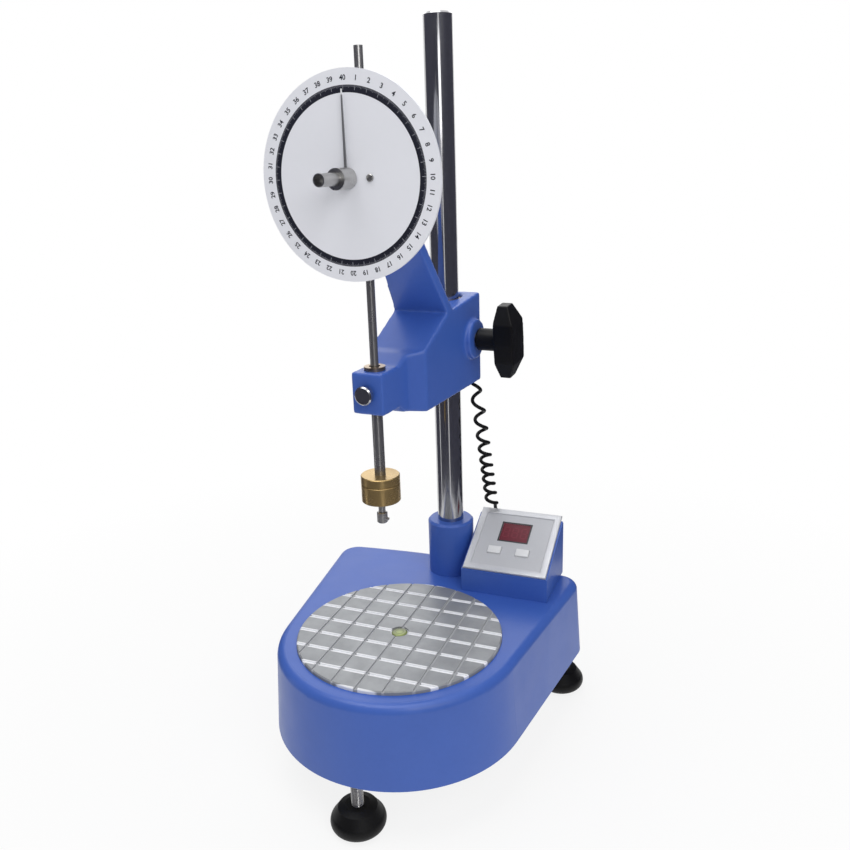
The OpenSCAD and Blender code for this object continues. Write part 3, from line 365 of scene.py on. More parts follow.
def new_piece(name, bm, body, material, smooth_deg=35.0):
    """Turns a bmesh into a piece that rides on a body."""
    mesh = bpy.data.meshes.new(name)
    bmesh.ops.recalc_face_normals(bm, faces=bm.faces[:])
    limit = math.radians(smooth_deg)
    for face in bm.faces:
        face.smooth = True
    for edge in bm.edges:
        edge.smooth = not (edge.is_manifold and edge.calc_face_angle(0.0) > limit)
    bm.to_mesh(mesh)
    bm.free()
    mesh.materials.append(material)
    piece = bpy.data.objects.new(name, mesh)
    bpy.context.scene.collection.objects.link(piece)
    if body:
        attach(piece, body)
    return piece


def dress(material, *nodes):
    """Gives CAD nodes a finish."""
    for node in nodes:
        slots = NODES[node].data.materials
        slots.clear()
        slots.append(material)


def rounded_copy(node, name, material, radius, shortest):
    """A copy of a CAD node with its long outer edges rounded, which stands for the node."""
    sharp, flat = math.radians(28.0), math.radians(0.6)
    bm = bmesh.new()
    bm.from_mesh(NODES[node].data)
    bmesh.ops.remove_doubles(bm, verts=bm.verts[:], dist=0.002 * MM)
    bmesh.ops.dissolve_limit(bm, angle_limit=flat, verts=bm.verts[:], edges=bm.edges[:])
    chosen = [
        edge for edge in bm.edges
        if edge.is_manifold and edge.is_convex and edge.calc_length() > shortest
        and edge.calc_face_angle(0.0) > sharp
    ]
    bmesh.ops.bevel(bm, geom=chosen, offset=radius, offset_type="OFFSET", segments=3, profile=0.5,
                    affect="EDGES", clamp_overlap=True)
    piece = new_piece(name, bm, BODY_OF[node], material, smooth_deg=30.0)
    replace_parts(piece, node)


def evaluated_mesh(holder):
    """Mesh of an object with its modifiers; the object itself is removed."""
    bpy.context.scene.collection.objects.link(holder)
    bpy.context.view_layer.update()
    depsgraph = bpy.context.evaluated_depsgraph_get()
    mesh = bpy.data.meshes.new_from_object(holder.evaluated_get(depsgraph))
    bpy.data.objects.remove(holder)
    return mesh


def softened_copy(node, name, material, grid, passes):
    """A copy of a CAD node with its edges softened like a casting's, which stands for the node."""
    rough = bpy.data.objects.new(name + "_rough", NODES[node].data.copy())
    remesh = rough.modifiers.new("remesh", "REMESH")
    remesh.mode, remesh.voxel_size = "VOXEL", grid
    smooth = rough.modifiers.new("smooth", "SMOOTH")
    smooth.factor, smooth.iterations = 0.5, passes
    mesh = evaluated_mesh(rough)
    bm = bmesh.new()
    bm.from_mesh(mesh)
    bpy.data.meshes.remove(mesh)
    piece = new_piece(name, bm, BODY_OF[node], material, smooth_deg=180.0)
    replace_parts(piece, node)


def frame_matrix(origin, right, up):
    """Matrix whose X is right, Y is up and Z points to the viewer."""
    matrix = Matrix((right, up, right.cross(up))).transposed().to_4x4()
    matrix.translation = origin
    return matrix


def circle(count):
    """Cosine and sine of evenly spaced angles."""
    angles = [2 * math.pi * k / count for k in range(count)]
    return [(math.cos(a), math.sin(a)) for a in angles]


def add_lathe(bm, profile, matrix, segments=48):
    """Turns a profile of (radius, height) points about the Z axis of a matrix."""
    rings = []
    for radius, height in profile:
        rings.append([bm.verts.new(matrix @ Vector((radius * c, radius * s, height)))
                      for c, s in (circle(segments) if radius else [(0, 0)])])
    for first, second in zip(rings, rings[1:]):
        for k in range(segments):
            follow = (k + 1) % segments
            corners = [first[k % len(first)], first[follow % len(first)],
                       second[follow % len(second)], second[k % len(second)]]
            corners = list(dict.fromkeys(corners))
            if len(corners) > 2:
                bm.faces.new(corners)


def add_ring(bm, matrix, inner, outer, low, high, segments=48):
    """A flat ring about the Z axis of a matrix."""
    profile = [(inner, low), (outer, low), (outer, high), (inner, high), (inner, low)]
    add_lathe(bm, profile, matrix, segments)
    bmesh.ops.remove_doubles(bm, verts=bm.verts[:], dist=1e-7)


def join_rings(bm, rings):
    """Faces between rings with as many points each, and flat ends."""
    sides = len(rings[0])
    for first, second in zip(rings, rings[1:]):
        for k in range(sides):
            follow = (k + 1) % sides
            bm.faces.new((first[k], first[follow], second[follow], second[k]))
    bm.faces.new(rings[0][::-1])
    bm.faces.new(rings[-1])


def add_plate(bm, matrix, outline, low, high):
    """A flat plate with the given outline of (x, y) points."""
    join_rings(bm, [[bm.verts.new(matrix @ Vector((x, y, z))) for x, y in outline]
                    for z in (low, high)])


def add_box(bm, matrix, low, high):
    (x0, y0, z0), (x1, y1, z1) = low, high
    add_plate(bm, matrix, [(x0, y0), (x1, y0), (x1, y1), (x0, y1)], z0, z1)


def add_tube(bm, points, radius, sides):
    """A round tube along points, with flat ends."""
    ahead, behind = points[1:] + points[-1:], points[:1] + points[:-1]
    tangents = [(there - before).normalized() for there, before in zip(ahead, behind)]
    across = tangents[0].orthogonal().normalized()
    rings = []
    for point, tangent in zip(points, tangents):
        across = (across - across.dot(tangent) * tangent).normalized()
        other = tangent.cross(across)
        rings.append([bm.verts.new(point + radius * (c * across + s * other))
                      for c, s in circle(sides)])
    join_rings(bm, rings)


def through(points, steps):
    """A smooth line through points, with so many steps between each two."""
    line = []
    last = len(points) - 1
    for i in range(last):
        before, here = points[max(i - 1, 0)], points[i]
        there, after = points[i + 1], points[min(i + 2, last)]
        slope = there - before
        bend = 2 * before - 5 * here + 4 * there - after
        twist = 3 * here - before - 3 * there + after
        for t in (k / steps for k in range(steps)):
            line.append(0.5 * (2 * here + slope * t + bend * t ** 2 + twist * t ** 3))
    line.append(points[last])
    return line


# Stage


def white_to_eye(tree, plain, seen):
    """Mixes in a second shader for rays that come from the camera, a mirror or glass."""
    paths = add(tree, "ShaderNodeLightPath")
    looks = maths(tree, "MAXIMUM", paths.outputs["Is Camera Ray"], paths.outputs["Is Glossy Ray"])
    looks = maths(tree, "MAXIMUM", looks, paths.outputs["Is Transmission Ray"])
    return filled(tree, "ShaderNodeMixShader", looks, plain, seen)


def soft_lamp(name, power, size, place, aim, tall=0.0):
    """A round lamp, or a box seen only in polished metal where a height is given."""
    lamp = bpy.data.lights.new(name, "AREA")
    lamp.shape = "RECTANGLE" if tall else "DISK"
    lamp.size, lamp.size_y = size, tall or size
    lamp.energy = power
    holder = bpy.data.objects.new(name, lamp)
    holder.location = place
    holder.rotation_euler = (Vector(aim) - Vector(place)).to_track_quat("-Z", "Y").to_euler()
    holder.visible_diffuse = not tall
    bpy.context.scene.collection.objects.link(holder)


def dark_card(name, material, start_deg, end_deg, low=0.001):
    """A dark card that curves round the set, seen only in polished metal."""
    radius, high, steps = 0.42, 0.75, 24
    bm = bmesh.new()
    posts = []
    for i in range(steps + 1):
        a = math.radians(start_deg + (end_deg - start_deg) * i / steps)
        x, y = radius * math.sin(a), -radius * math.cos(a)
        posts.append((bm.verts.new((x, y, low)), bm.verts.new((x, y, high))))
    for first, second in zip(posts, posts[1:]):
        bm.faces.new((first[0], second[0], second[1], first[1]))
    card = new_piece(name, bm, None, material)
    card.visible_camera = card.visible_diffuse = card.visible_shadow = False


def stage_camera(scene, stage):
    a, e = stage.azimuth, stage.elevation
    back = Vector((math.sin(a) * math.cos(e), -math.cos(a) * math.cos(e), math.sin(e)))
    right = Vector((math.cos(a), math.sin(a), 0))
    up = back.cross(right)
    c, s = math.cos(stage.roll), math.sin(stage.roll)
    lens = bpy.data.cameras.new("camera")
    lens.sensor_width = 36.0
    lens.lens = stage.lens
    lens.clip_start, lens.clip_end = 0.02, 60.0
    camera = bpy.data.objects.new("camera", lens)
    camera.matrix_world = frame_matrix(Vector(stage.eye), c * right + s * up, c * up - s * right)
    scene.collection.objects.link(camera)
    scene.camera = camera


def stage_surroundings(scene, stage):
    """Dim light from all round that looks white."""
    world = bpy.data.worlds.new("surroundings")
    scene.world = world
    world.use_nodes = True
    tree = world.node_tree
    plain, seen = tree.nodes["Background"], add(tree, "ShaderNodeBackground")
    for background, strength in ((plain, stage.ambient), (seen, 1.0)):
        give(tree, background, Color=(1, 1, 1, 1), Strength=strength)
    light = white_to_eye(tree, plain.outputs[0], seen.outputs[0])
    give(tree, tree.nodes["World Output"], Surface=light)


def stage_floor(stage):
    """A floor that takes soft shadows near the object and turns white further off."""
    half, near, far = 30.0, 0.2, 0.75
    white_near, white_far = 0.84, 1.0
    material, tree, shader = blank("floor")
    give(tree, shader, Base_Color=rgba(stage.floor_tone), Roughness=0.9)
    paper = give(tree, add(tree, "ShaderNodeEmission"), Strength=1.0)
    white = spread(tree, measured(tree, "DISTANCE", (0, 0, 0)), near, far, white_near, white_far)
    bright = filled(tree, "ShaderNodeMixShader", white, shader.outputs[0], paper.outputs[0])
    surface = white_to_eye(tree, shader.outputs[0], bright)
    give(tree, tree.nodes["Material Output"], Surface=surface)
    bm = bmesh.new()
    bmesh.ops.create_grid(bm, x_segments=1, y_segments=1, size=half)
    floor = new_piece("floor", bm, None, material)


class PENETROMETER_OT_stage(bpy.types.Operator):
    """Camera, pale floor, soft lamps, dark cards and white surroundings"""

    bl_idname = "penetrometer.stage"
    bl_label = "Stage"

    def execute(self, context):
        scene, stage = context.scene, context.scene.penetrometer_stage
        scene.view_settings.view_transform = "Standard"
        stage_camera(scene, stage)
        stage_surroundings(scene, stage)
        stage_floor(stage)
        soft_lamp("lamp_above", stage.key_power, size=1.6,
                  place=(-0.3, -0.2, 2.1), aim=(0, 0, 0.2))
        soft_lamp("lamp_front", stage.fill_power, size=0.9,
                  place=(0.85, -0.75, 1.15), aim=(0, 0, 0.3))
        soft_lamp("lamp_back", stage.back_power, size=1.4,
                  place=(-0.45, 1.3, 1.25), aim=(0, 0, 0.15))
        soft_lamp("lamp_box", stage.box_power, size=0.15, tall=0.13,
                  place=(0.203, -0.345, 0.6), aim=(0, 0.06, 0.6))
        card = skin_material("dark_card", (0.085, 0.085, 0.115), 0.9)
        dark_card("card_left", card, start_deg=-120.0, end_deg=-72.0)
        dark_card("card_middle", card, start_deg=-65.0, end_deg=26.5)
        dark_card("card_between", card, start_deg=-72.0, end_deg=-65.0, low=0.3)
        dark_card("card_right", card, start_deg=34.5, end_deg=170.0)
        return {"FINISHED"}


# Cord


def cord_line():
    """Centre line of the curly cord, from the head's lead to the timer's gland, in metres."""
    size = sizes()
    curls = size.curls
    curl_r = (size.curl_d - size.cord_d) / 2 / MM
    low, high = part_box("cord_lead")
    lead, lead_low = (low + high) / 2 / MM, low.z / MM
    gland = Vector((36.0, 134.5, 145.0))
    lead_stub = 2.4
    curl_from, curl_to = Vector((23.2, 121.5, 306.5)), Vector((35.7, 132.5, 173.6))
    start_deg, opening, growth = -70, 0.85, 3
    rings_per_curl, line_steps = 8, 3
    rings = curls * rings_per_curl
    last_ring = rings - 5
    tail_r, tail_y = 5.4, gland.y + 8.0
    tail_bend = ((3.0, 3), (0.9, -4), (0.1, -12))

    def curl_point(s):
        turn = math.radians(start_deg + 360 * curls * s)
        share = s + opening * s * (1 - s) ** 2
        reach = curl_r * min(1, growth * curls * s)
        aside = reach * Vector((math.cos(turn), math.sin(turn), 0))
        return curl_from + share * (curl_to - curl_from) + aside

    points = [Vector((lead.x, lead.y, lead_low - drop)) for drop in (0, lead_stub)]
    points += [curl_point(i / rings) for i in range(1, last_ring + 1)]
    points += [Vector((gland.x, tail_y - ahead, curl_to.z + above)) for ahead, above in tail_bend]
    for a in (math.radians(degrees) for degrees in (0, 30, 60, 90)):
        y, z = tail_y - tail_r * (1 - math.cos(a)), gland.z + tail_r * (1 - math.sin(a))
        points.append(Vector((gland.x, y, z)))
    points.append(gland)
    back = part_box("curly_cord")[1].y - size.cord_d / 2
    line = [MM * point for point in through(points, line_steps)]
    return [Vector((point.x, min(point.y, back), point.z)) for point in line]


class PENETROMETER_OT_cord(bpy.types.Operator):
    """Curly cord, its straight lead and the two glands"""

    bl_idname = "penetrometer.cord"
    bl_label = "Curly Cord"

    def execute(self, context):
        size = sizes()
        cord_r = size.cord_d / 2
        jacket = skin_material("cord_jacket", colours().rubber, 0.42, drift=0.1, grain=1600.0,
                               depth=0.008 * MM, marks=0.1, gloss=BLACK_GLOSS)
        line = cord_line()
        bm = bmesh.new()
        add_tube(bm, line, cord_r, size.cord_sides)
        coil = new_piece("curly_cord_jacket", bm, None, jacket, smooth_deg=60.0)
        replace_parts(coil, "curly_cord")
        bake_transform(coil)

        low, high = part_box("cord_lead")
        axis, steps = (low + high) / 2, 12
        heights = [low.z + (high.z - low.z) * i / steps for i in range(steps + 1)]
        bm = bmesh.new()
        add_tube(bm, [Vector((axis.x, axis.y, z)) for z in heights], cord_r, size.cord_sides)
        lead = new_piece("cord_lead_jacket", bm, None, jacket, smooth_deg=60.0)
        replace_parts(lead, "cord_lead")
        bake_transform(lead)

        low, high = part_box("timer_gland")
        place = frame_matrix(Vector((line[-1].x, high.y, line[-1].z)), -RIGHT, UPRIGHT)
        rim, mouth, neck = (high.x - low.x) / 2, cord_r + 0.3 * MM, cord_r + 1.6 * MM
        inner_end = low.y - high.y
        bm = bmesh.new()
        add_lathe(bm, [(0, 0), (mouth, 0), (rim - 1.1 * MM, -0.2 * MM), (rim - 0.3 * MM, -1.0 * MM),
                       (rim, -1.8 * MM), (rim, -2.9 * MM), (neck, -2.95 * MM), (neck, inner_end),
                       (0, inner_end)], place)
        boot = new_piece("timer_gland_boot", bm, "base", jacket)
        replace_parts(boot, "timer_gland")
        dress(jacket, "head_gland")
        return {"FINISHED"}


# Castings


class PENETROMETER_OT_castings(bpy.types.Operator):
    """Blue enamel castings with softened edges"""

    bl_idname = "penetrometer.castings"
    bl_label = "Castings"

    def execute(self, context):
        size = sizes()
        enamel = skin_material("blue_enamel", colours().enamel, 0.4, drift=0.05, grain=300.0,
                               depth=0.003 * MM, marks=0.04, coat=0.1)
        dress(enamel, "base_casting", "arm_cover", "timer_case")
        for node in ("head_casting", "gear_housing"):
            softened_copy(node, node + "_enamelled", enamel, size.casting_grid, size.casting_passes)
        return {"FINISHED"}


# Table


def table_material(colour, centre, radius, top):
    """Ground metal with dark grooves across, a painted highlight along and beside the grooves that run along, and
    a pale rim.
    """
    pitch = 22.0 * MM
    dark_half, dark_soft = 1.05 * MM, 0.3 * MM
    # Half width and soft edge of the painted highlight, a pale band that stands for light glancing off the grooves
    # along and their edges
    highlight_half, highlight_soft = 1.9 * MM, 0.5 * MM
    break_half, break_soft = 1.2 * MM, 1.0 * MM
    rim_wide, rim_full = 0.7 * MM, 0.4 * MM
    dark_tone, highlight_tone = (0.42, 0.43, 0.45, 1), (0.88, 0.89, 0.92, 1)
    metal, metal_lost, dulling = 0.5, 0.45, 0.3
    material, tree, shader = blank("ground_table")
    place = measured(tree, "DOT_PRODUCT", BACK)
    ground = placed(tree, "Turned Metal", Colour=rgba(colour), Place=place, Lines=1800.0,
                    Contrast=0.06, Roughness=0.42, Stain=0.12)

    def beside(direction, half, soft):
        """1 within a half width of the nearest groove's middle, falling off softly."""
        along = minus(tree, measured(tree, "DOT_PRODUCT", direction), centre.dot(direction))
        steps = maths(tree, "DIVIDE", along, pitch)
        off = maths(tree, "ABSOLUTE", minus(tree, steps, maths(tree, "ROUND", steps)))
        return spread(tree, off, half / pitch, (half + soft) / pitch, 1.0, 0.0)

    dark = beside(RIGHT, dark_half, dark_soft)
    unbroken = minus(tree, 1.0, beside(RIGHT, break_half, break_soft))
    # Painted highlight beside each groove along, left out where a groove across crosses it
    bright = times(tree, beside(BACK, highlight_half, highlight_soft), unbroken)
    tone = mix_colour(tree, dark, ground["Colour"], dark_tone)
    tone = mix_colour(tree, bright, tone, highlight_tone)
    away = measured(tree, "DISTANCE", (centre.x, centre.y, top))
    edge = spread(tree, away, radius - rim_wide, radius - rim_full, 0.0, 1.0)
    plain = maths(tree, "MAXIMUM", maths(tree, "MAXIMUM", dark, bright), edge)
    rough = plus(tree, ground["Roughness"], times(tree, plain, dulling))
    metallic = minus(tree, metal, times(tree, plain, metal_lost))
    give(tree, shader, Base_Color=tone, Roughness=rough, Metallic=metallic,
         Normal=bump(tree, ground["Height"], 0.004 * MM))
    return material


def fluid_material(colour, centre, top):
    """Green fluid with painted light and shade: lighter beside its middle and darker towards the rim."""
    near, far, painted_shade_far, painted_shade_tone, swirl_share = 2 * MM, 8 * MM, 0.85, 0.25, 0.3
    material, tree, shader = blank("level_fluid")
    # Painted shade darkens the fluid from a lit spot just beside the middle out to the rim, where the cup's wall
    # shades it; a faint swirl varies it
    away = measured(tree, "DISTANCE", (centre.x + 1.5 * MM, centre.y - 2.5 * MM, top))
    swirl = times(tree, noise(tree, place_in(tree), 220.0), swirl_share)
    shade = plus(tree, swirl, spread(tree, away, near, far, 0.0, painted_shade_far))
    tone = mix_colour(tree, shade, rgba(colour), rgba([v * painted_shade_tone for v in colour]))
    give(tree, shader, Base_Color=tone, Roughness=0.08, Coat_Weight=0.3)
    return material


class PENETROMETER_OT_table(bpy.types.Operator):
    """Ground table with dark grooves and a painted highlight beside its other grooves, and its bull's-eye level
    with painted shade in its fluid
    """

    bl_idname = "penetrometer.table"
    bl_label = "Table"

    def execute(self, context):
        tint = colours()
        low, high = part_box("table")
        dress(table_material(tint.table, (low + high) / 2, (high.x - low.x) / 2, high.z), "table")

        dress(bpy.data.materials["satin_frame"], "level_cup")
        low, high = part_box("level_glass")
        rim, deep = (high.x - low.x) / 2, high.z - low.z
        centre = (low + high) / 2
        place = Matrix.Translation((centre.x, centre.y, high.z))
        bm = bmesh.new()
        add_lathe(bm, [(0, -deep), (rim, -deep), (rim, -0.6 * MM), (rim * 0.93, -0.3 * MM),
                       (rim * 0.6, -0.12 * MM), (rim * 0.3, -0.03 * MM), (0, 0)], place)
        glass = fluid_material(tint.fluid, centre, high.z)
        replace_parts(new_piece("level_lens", bm, "base", glass), "level_glass")

        mark, wide, top, thick = rim * 0.46, 0.35 * MM, -0.035 * MM, 0.2 * MM
        bm = bmesh.new()
        add_ring(bm, place, mark, mark + wide, top - thick, top)
        ink = skin_material("level_mark", (0.11, 0.13, 0.045), 0.5)
        new_piece("level_ring", bm, "base", ink)

        wide = rim * 0.3
        spot = Matrix.Translation((centre.x + 0.8 * MM, centre.y + 0.9 * MM, high.z - 0.3 * MM))
        bm = bmesh.new()
        add_lathe(bm, [(0, -0.2 * MM), (wide * 0.8, -0.1 * MM), (wide, 0.05 * MM),
                       (wide * 0.8, 0.2 * MM), (0, 0.28 * MM)], spot, 32)
        air = skin_material("level_bubble", (0.62, 0.68, 0.34), 0.2)
        new_piece("level_bubble", bm, "base", air)
        return {"FINISHED"}


# Pillar, rods and fasteners


class PENETROMETER_OT_metal(bpy.types.Operator):
    """Pillar, rods, brass pieces and fasteners"""

    bl_idname = "penetrometer.metal"
    bl_label = "Metal Pieces"

    def execute(self, context):
        tint = colours()
        pillar = turned_material("pillar_chrome", tint.chrome, 0.13, UPRIGHT, lines=700.0,
                                 contrast=0.03, stain=0.06, depth=0.0002 * MM)
        dress(pillar, "pillar")
        rods = turned_material("rod_steel", tint.steel, 0.28, UPRIGHT, lines=900.0, contrast=0.03,
                               stain=0.08, depth=0.0001 * MM, metal=0.93)
        dress(rods, "rack_rod", "plunger", "needle_chuck", "chuck_screw", "brake_bar", "clamp_stud",
              "pillar_bolt", "base_plate", "transformer")
        hub = turned_material("hub_steel", tint.steel, 0.3, HEAD_BACK, lines=1600.0, contrast=0.1,
                              depth=0.001 * MM)
        dress(hub, "arbor", "pointer_hub")
        brass = turned_material("weight_brass", tint.brass, 0.28, UPRIGHT, lines=1200.0,
                                contrast=0.05, stain=0.12, depth=0.0003 * MM, metal=0.85)
        dress(brass, "weight_50g", "weight_100g", "pinion")
        button = turned_material("button_chrome", tint.chrome, 0.16, HEAD_BACK, lines=1500.0,
                                 contrast=0.05, depth=0.001 * MM)
        dress(button, "release_button")
        screw = turned_material("screw_steel", tint.steel, 0.32, UPRIGHT, lines=2600.0,
                                contrast=0.1, stain=0.2)
        dress(screw, "timer_screws", "base_plate_screws", "housing_screws", "dial_screws")
        bronze = turned_material("bush_bronze", tint.bronze, 0.34, UPRIGHT, lines=2400.0,
                                 contrast=0.16, stain=0.2)
        dress(bronze, "pillar_bush_lower", "pillar_bush_upper", "plunger_bush_lower",
              "plunger_bush_upper", "clamp_pad", "arbor_bush")
        tape = turned_material("coil_tape", (0.3, 0.16, 0.05), 0.5, HEAD_BACK, lines=900.0,
                               contrast=0.2)
        dress(tape, "solenoid")
        return {"FINISHED"}


class PENETROMETER_OT_feet(bpy.types.Operator):
    """Threaded studs and black pads"""

    bl_idname = "penetrometer.feet"
    bl_label = "Levelling Feet"

    def execute(self, context):
        pitch = sizes().thread_pitch
        rows_per_turn, around, depth, half_groove = 6, 28, 0.55 * MM, 0.38
        pad = skin_material("foot_moulding", colours().moulding, 0.46, drift=0.15, grain=1300.0,
                            depth=0.015 * MM, marks=0.12, gloss=BLACK_GLOSS)
        steel = bpy.data.materials["rod_steel"]
        for side in ("front", "left", "right"):
            dress(pad, "foot_pad_" + side)
            node = "foot_stud_" + side
            low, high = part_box(node)
            axis, outer = (low + high) / 2, (high.x - low.x) / 2
            rows = int((high.z - low.z) / pitch * rows_per_turn)
            bm = bmesh.new()
            rings = []
            for row in range(rows + 1):
                height = low.z + (high.z - low.z) * row / rows
                ring = []
                for k, (c, s) in enumerate(circle(around)):
                    phase = ((height - low.z) / pitch - k / around) % 1.0
                    reach = outer - depth * max(0.0, 1 - abs(phase - 0.5) / half_groove)
                    ring.append(bm.verts.new((axis.x + reach * c, axis.y + reach * s, height)))
                rings.append(ring)
            join_rings(bm, rings)
            thread = new_piece(node + "_thread", bm, BODY_OF[node], steel,
                               smooth_deg=50.0)
            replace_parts(thread, node)
        return {"FINISHED"}


class PENETROMETER_OT_knob(bpy.types.Operator):
    """Black wing knob of the clamp"""

    bl_idname = "penetrometer.knob"
    bl_label = "Clamp Knob"

    def execute(self, context):
        black = skin_material("knob_moulding", colours().moulding, 0.42, drift=0.15, grain=900.0,
                              depth=0.015 * MM, marks=0.1, gloss=BLACK_GLOSS)
        softened_copy("clamp_knob", "clamp_knob_moulded", black, grid=0.6 * MM, passes=8)
        return {"FINISHED"}


# Dial


def dial_frame():
    """Matrix at the middle of the dial's front face: X right, Y up, Z to the viewer."""
    front = extent("dial", HEAD_BACK)[0]
    origin = ARBOR_AXIS + (front - ARBOR_AXIS.dot(HEAD_BACK)) * HEAD_BACK
    return frame_matrix(origin, HEAD_RIGHT, UPRIGHT)


def number_mesh(text, height):
    """Flat outline of a number as a mesh, centred."""
    curve = bpy.data.curves.new("number", "FONT")
    curve.body = text
    curve.size = height
    curve.align_x, curve.align_y = "CENTER", "CENTER"
    curve.resolution_u = 3
    curve.extrude = sizes().print_t / 2
    curve.offset = height * 0.022
    mesh = evaluated_mesh(bpy.data.objects.new("number", curve))
    bpy.data.curves.remove(curve)
    return mesh


def pointer_material():
    """Grey metal with a pale tip."""
    tip_from, tip_to = 56.5 * MM, 57.5 * MM
    grey, pale = (0.34, 0.345, 0.36, 1), (0.85, 0.86, 0.88, 1)
    metal, metal_lost = 0.7, 0.65
    material, tree, shader = blank("pointer_metal")
    away = minus(tree, measured(tree, "DOT_PRODUCT", UPRIGHT), ARBOR_AXIS.z)
    tip = spread(tree, away, tip_from, tip_to, 0.0, 1.0)
    turned = placed(tree, "Turned Metal", Colour=grey, Place=away, Lines=2000.0, Contrast=0.1,
                    Roughness=0.35, Stain=0.08)
    give(tree, shader, Base_Color=mix_colour(tree, tip, turned["Colour"], pale),
         Roughness=turned["Roughness"], Metallic=minus(tree, metal, times(tree, tip, metal_lost)))
    return material


class PENETROMETER_OT_dial(bpy.types.Operator):
    """White dial with its printed ring, divisions and numbers, and the pointer"""

    bl_idname = "penetrometer.dial"
    bl_label = "Dial"

    def execute(self, context):
        size, tint = sizes(), colours()
        face = dial_frame()
        lacquer = skin_material("dial_lacquer", tint.lacquer, 0.34, drift=0.012, grain=300.0,
                                depth=0.003 * MM, marks=0.03, coat=0.2)
        ink = skin_material("dial_ink", tint.ink, 0.45, drift=0.1, grain=1500.0, depth=0.003 * MM)
        chalk = skin_material("dial_white_ink", (0.42, 0.43, 0.48), 0.45, drift=0.05, grain=1500.0,
                              depth=0.003 * MM)
        dress(lacquer, "dial")
        dress(bpy.data.materials["satin_frame"], "dial_carrier")
        dress(pointer_material(), "pointer")

        t = size.print_t
        bm = bmesh.new()
        add_ring(bm, face, size.ring_inner, size.ring_outer, 0, t, 180)
        new_piece("dial_ring", bm, "head", ink)

        # Length and half width of a division at a number, halfway between two, and elsewhere
        at_number, between = (3.4 * MM, 0.14 * MM), (2.2 * MM, 0.08 * MM)
        elsewhere = (1.5 * MM, 0.08 * MM)
        outer, chalk_top = size.ring_outer, 1.6 * t
        per_number = size.divisions // size.numbers
        bm = bmesh.new()
        for i in range(size.divisions):
            long, half = elsewhere
            if i % per_number == 0:
                long, half = at_number
            elif i % (per_number // 2) == 0:
                long, half = between
            turn = face @ Matrix.Rotation(-2 * math.pi * i / size.divisions, 4, "Z")
            add_box(bm, turn, (-half, outer - long, t), (half, outer, chalk_top))
        new_piece("dial_divisions", bm, "head", chalk)

        bm = bmesh.new()
        for i in range(size.numbers):
            mesh = number_mesh(str(i if i else size.numbers), size.number_h)
            turn = Matrix.Rotation(-2 * math.pi * i / size.numbers, 4, "Z")
            mesh.transform(face @ turn @ Matrix.Translation((0, size.number_radius, t / 2)))
            bm.from_mesh(mesh)
            bpy.data.meshes.remove(mesh)
        new_piece("dial_numbers", bm, "head", ink)

        screw = bpy.data.materials["screw_steel"]
        head_r, slot_deg = 2.8 * MM, 28
        low, high = extent("dial_screws", HEAD_RIGHT)
        thick = face.translation.dot(HEAD_BACK) - extent("dial_screws", HEAD_BACK)[0]
        reach = (high - low) / 2 - head_r
        bm = bmesh.new()
        for side in (-1, 1):
            at = face @ Matrix.Translation((side * reach, 0, 0))
            add_screw(bm, at, head_r, thick, slot_deg * side)
        heads = new_piece("dial_screw_heads", bm, "head", screw)
        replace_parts(heads, "dial_screws")
        return {"FINISHED"}


def add_screw(bm, matrix, radius, thick, slot_deg):
    """Cheese head with a slot across it, on a short shank."""
    half_slot, shank_r, shank_len = 0.4 * MM, radius * 0.43, 3 * MM
    floor, shoulder, chamfer = thick - thick * 0.45, thick * 0.75, 0.12
    turned = matrix @ Matrix.Rotation(math.radians(slot_deg), 4, "Z")
    count = 16
    first = math.asin(half_slot / radius)
    angles = [first + (math.pi - 2 * first) * k / count for k in range(count + 1)]
    for side in (-1, 1):
        arc = [(radius * math.cos(a), side * radius * math.sin(a)) for a in angles]
        shrunk = [(x * (1 - chamfer), side * max(half_slot, abs(y) - radius * chamfer))
                  for x, y in arc]
        levels = ((arc, floor), (arc, shoulder), (shrunk, thick))
        join_rings(bm, [[bm.verts.new(turned @ Vector((x, y, z))) for x, y in outline]
                        for outline, z in levels])
    add_lathe(bm, [(0, -shank_len), (shank_r, -shank_len), (shank_r, 0), (radius, 0),
                   (radius, floor), (0, floor)], turned, 32)


# Timer


def panel_frame():
    """Matrix on the timer's panel: X right, Y up the slope, Z out of it."""
    left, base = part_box("timer_bezel")[0].x, extent("timer_bezel", PANEL_UP)[0]
    out = extent("timer_bezel", PANEL_OUT)[1]
    return frame_matrix(left * RIGHT + base * PANEL_UP + out * PANEL_OUT, RIGHT, PANEL_UP)


def window_material():
    """Dark red window with a faint cloud."""
    deep_red, pale_red = (0.11, 0.01, 0.02, 1), (0.17, 0.016, 0.034, 1)
    material, tree, shader = blank("red_window")
    cloud = noise(tree, place_in(tree), 120.0, 3.0)
    give(tree, shader, Base_Color=mix_colour(tree, cloud, deep_red, pale_red), Roughness=0.35,
         Specular_IOR_Level=0.3)
    return material


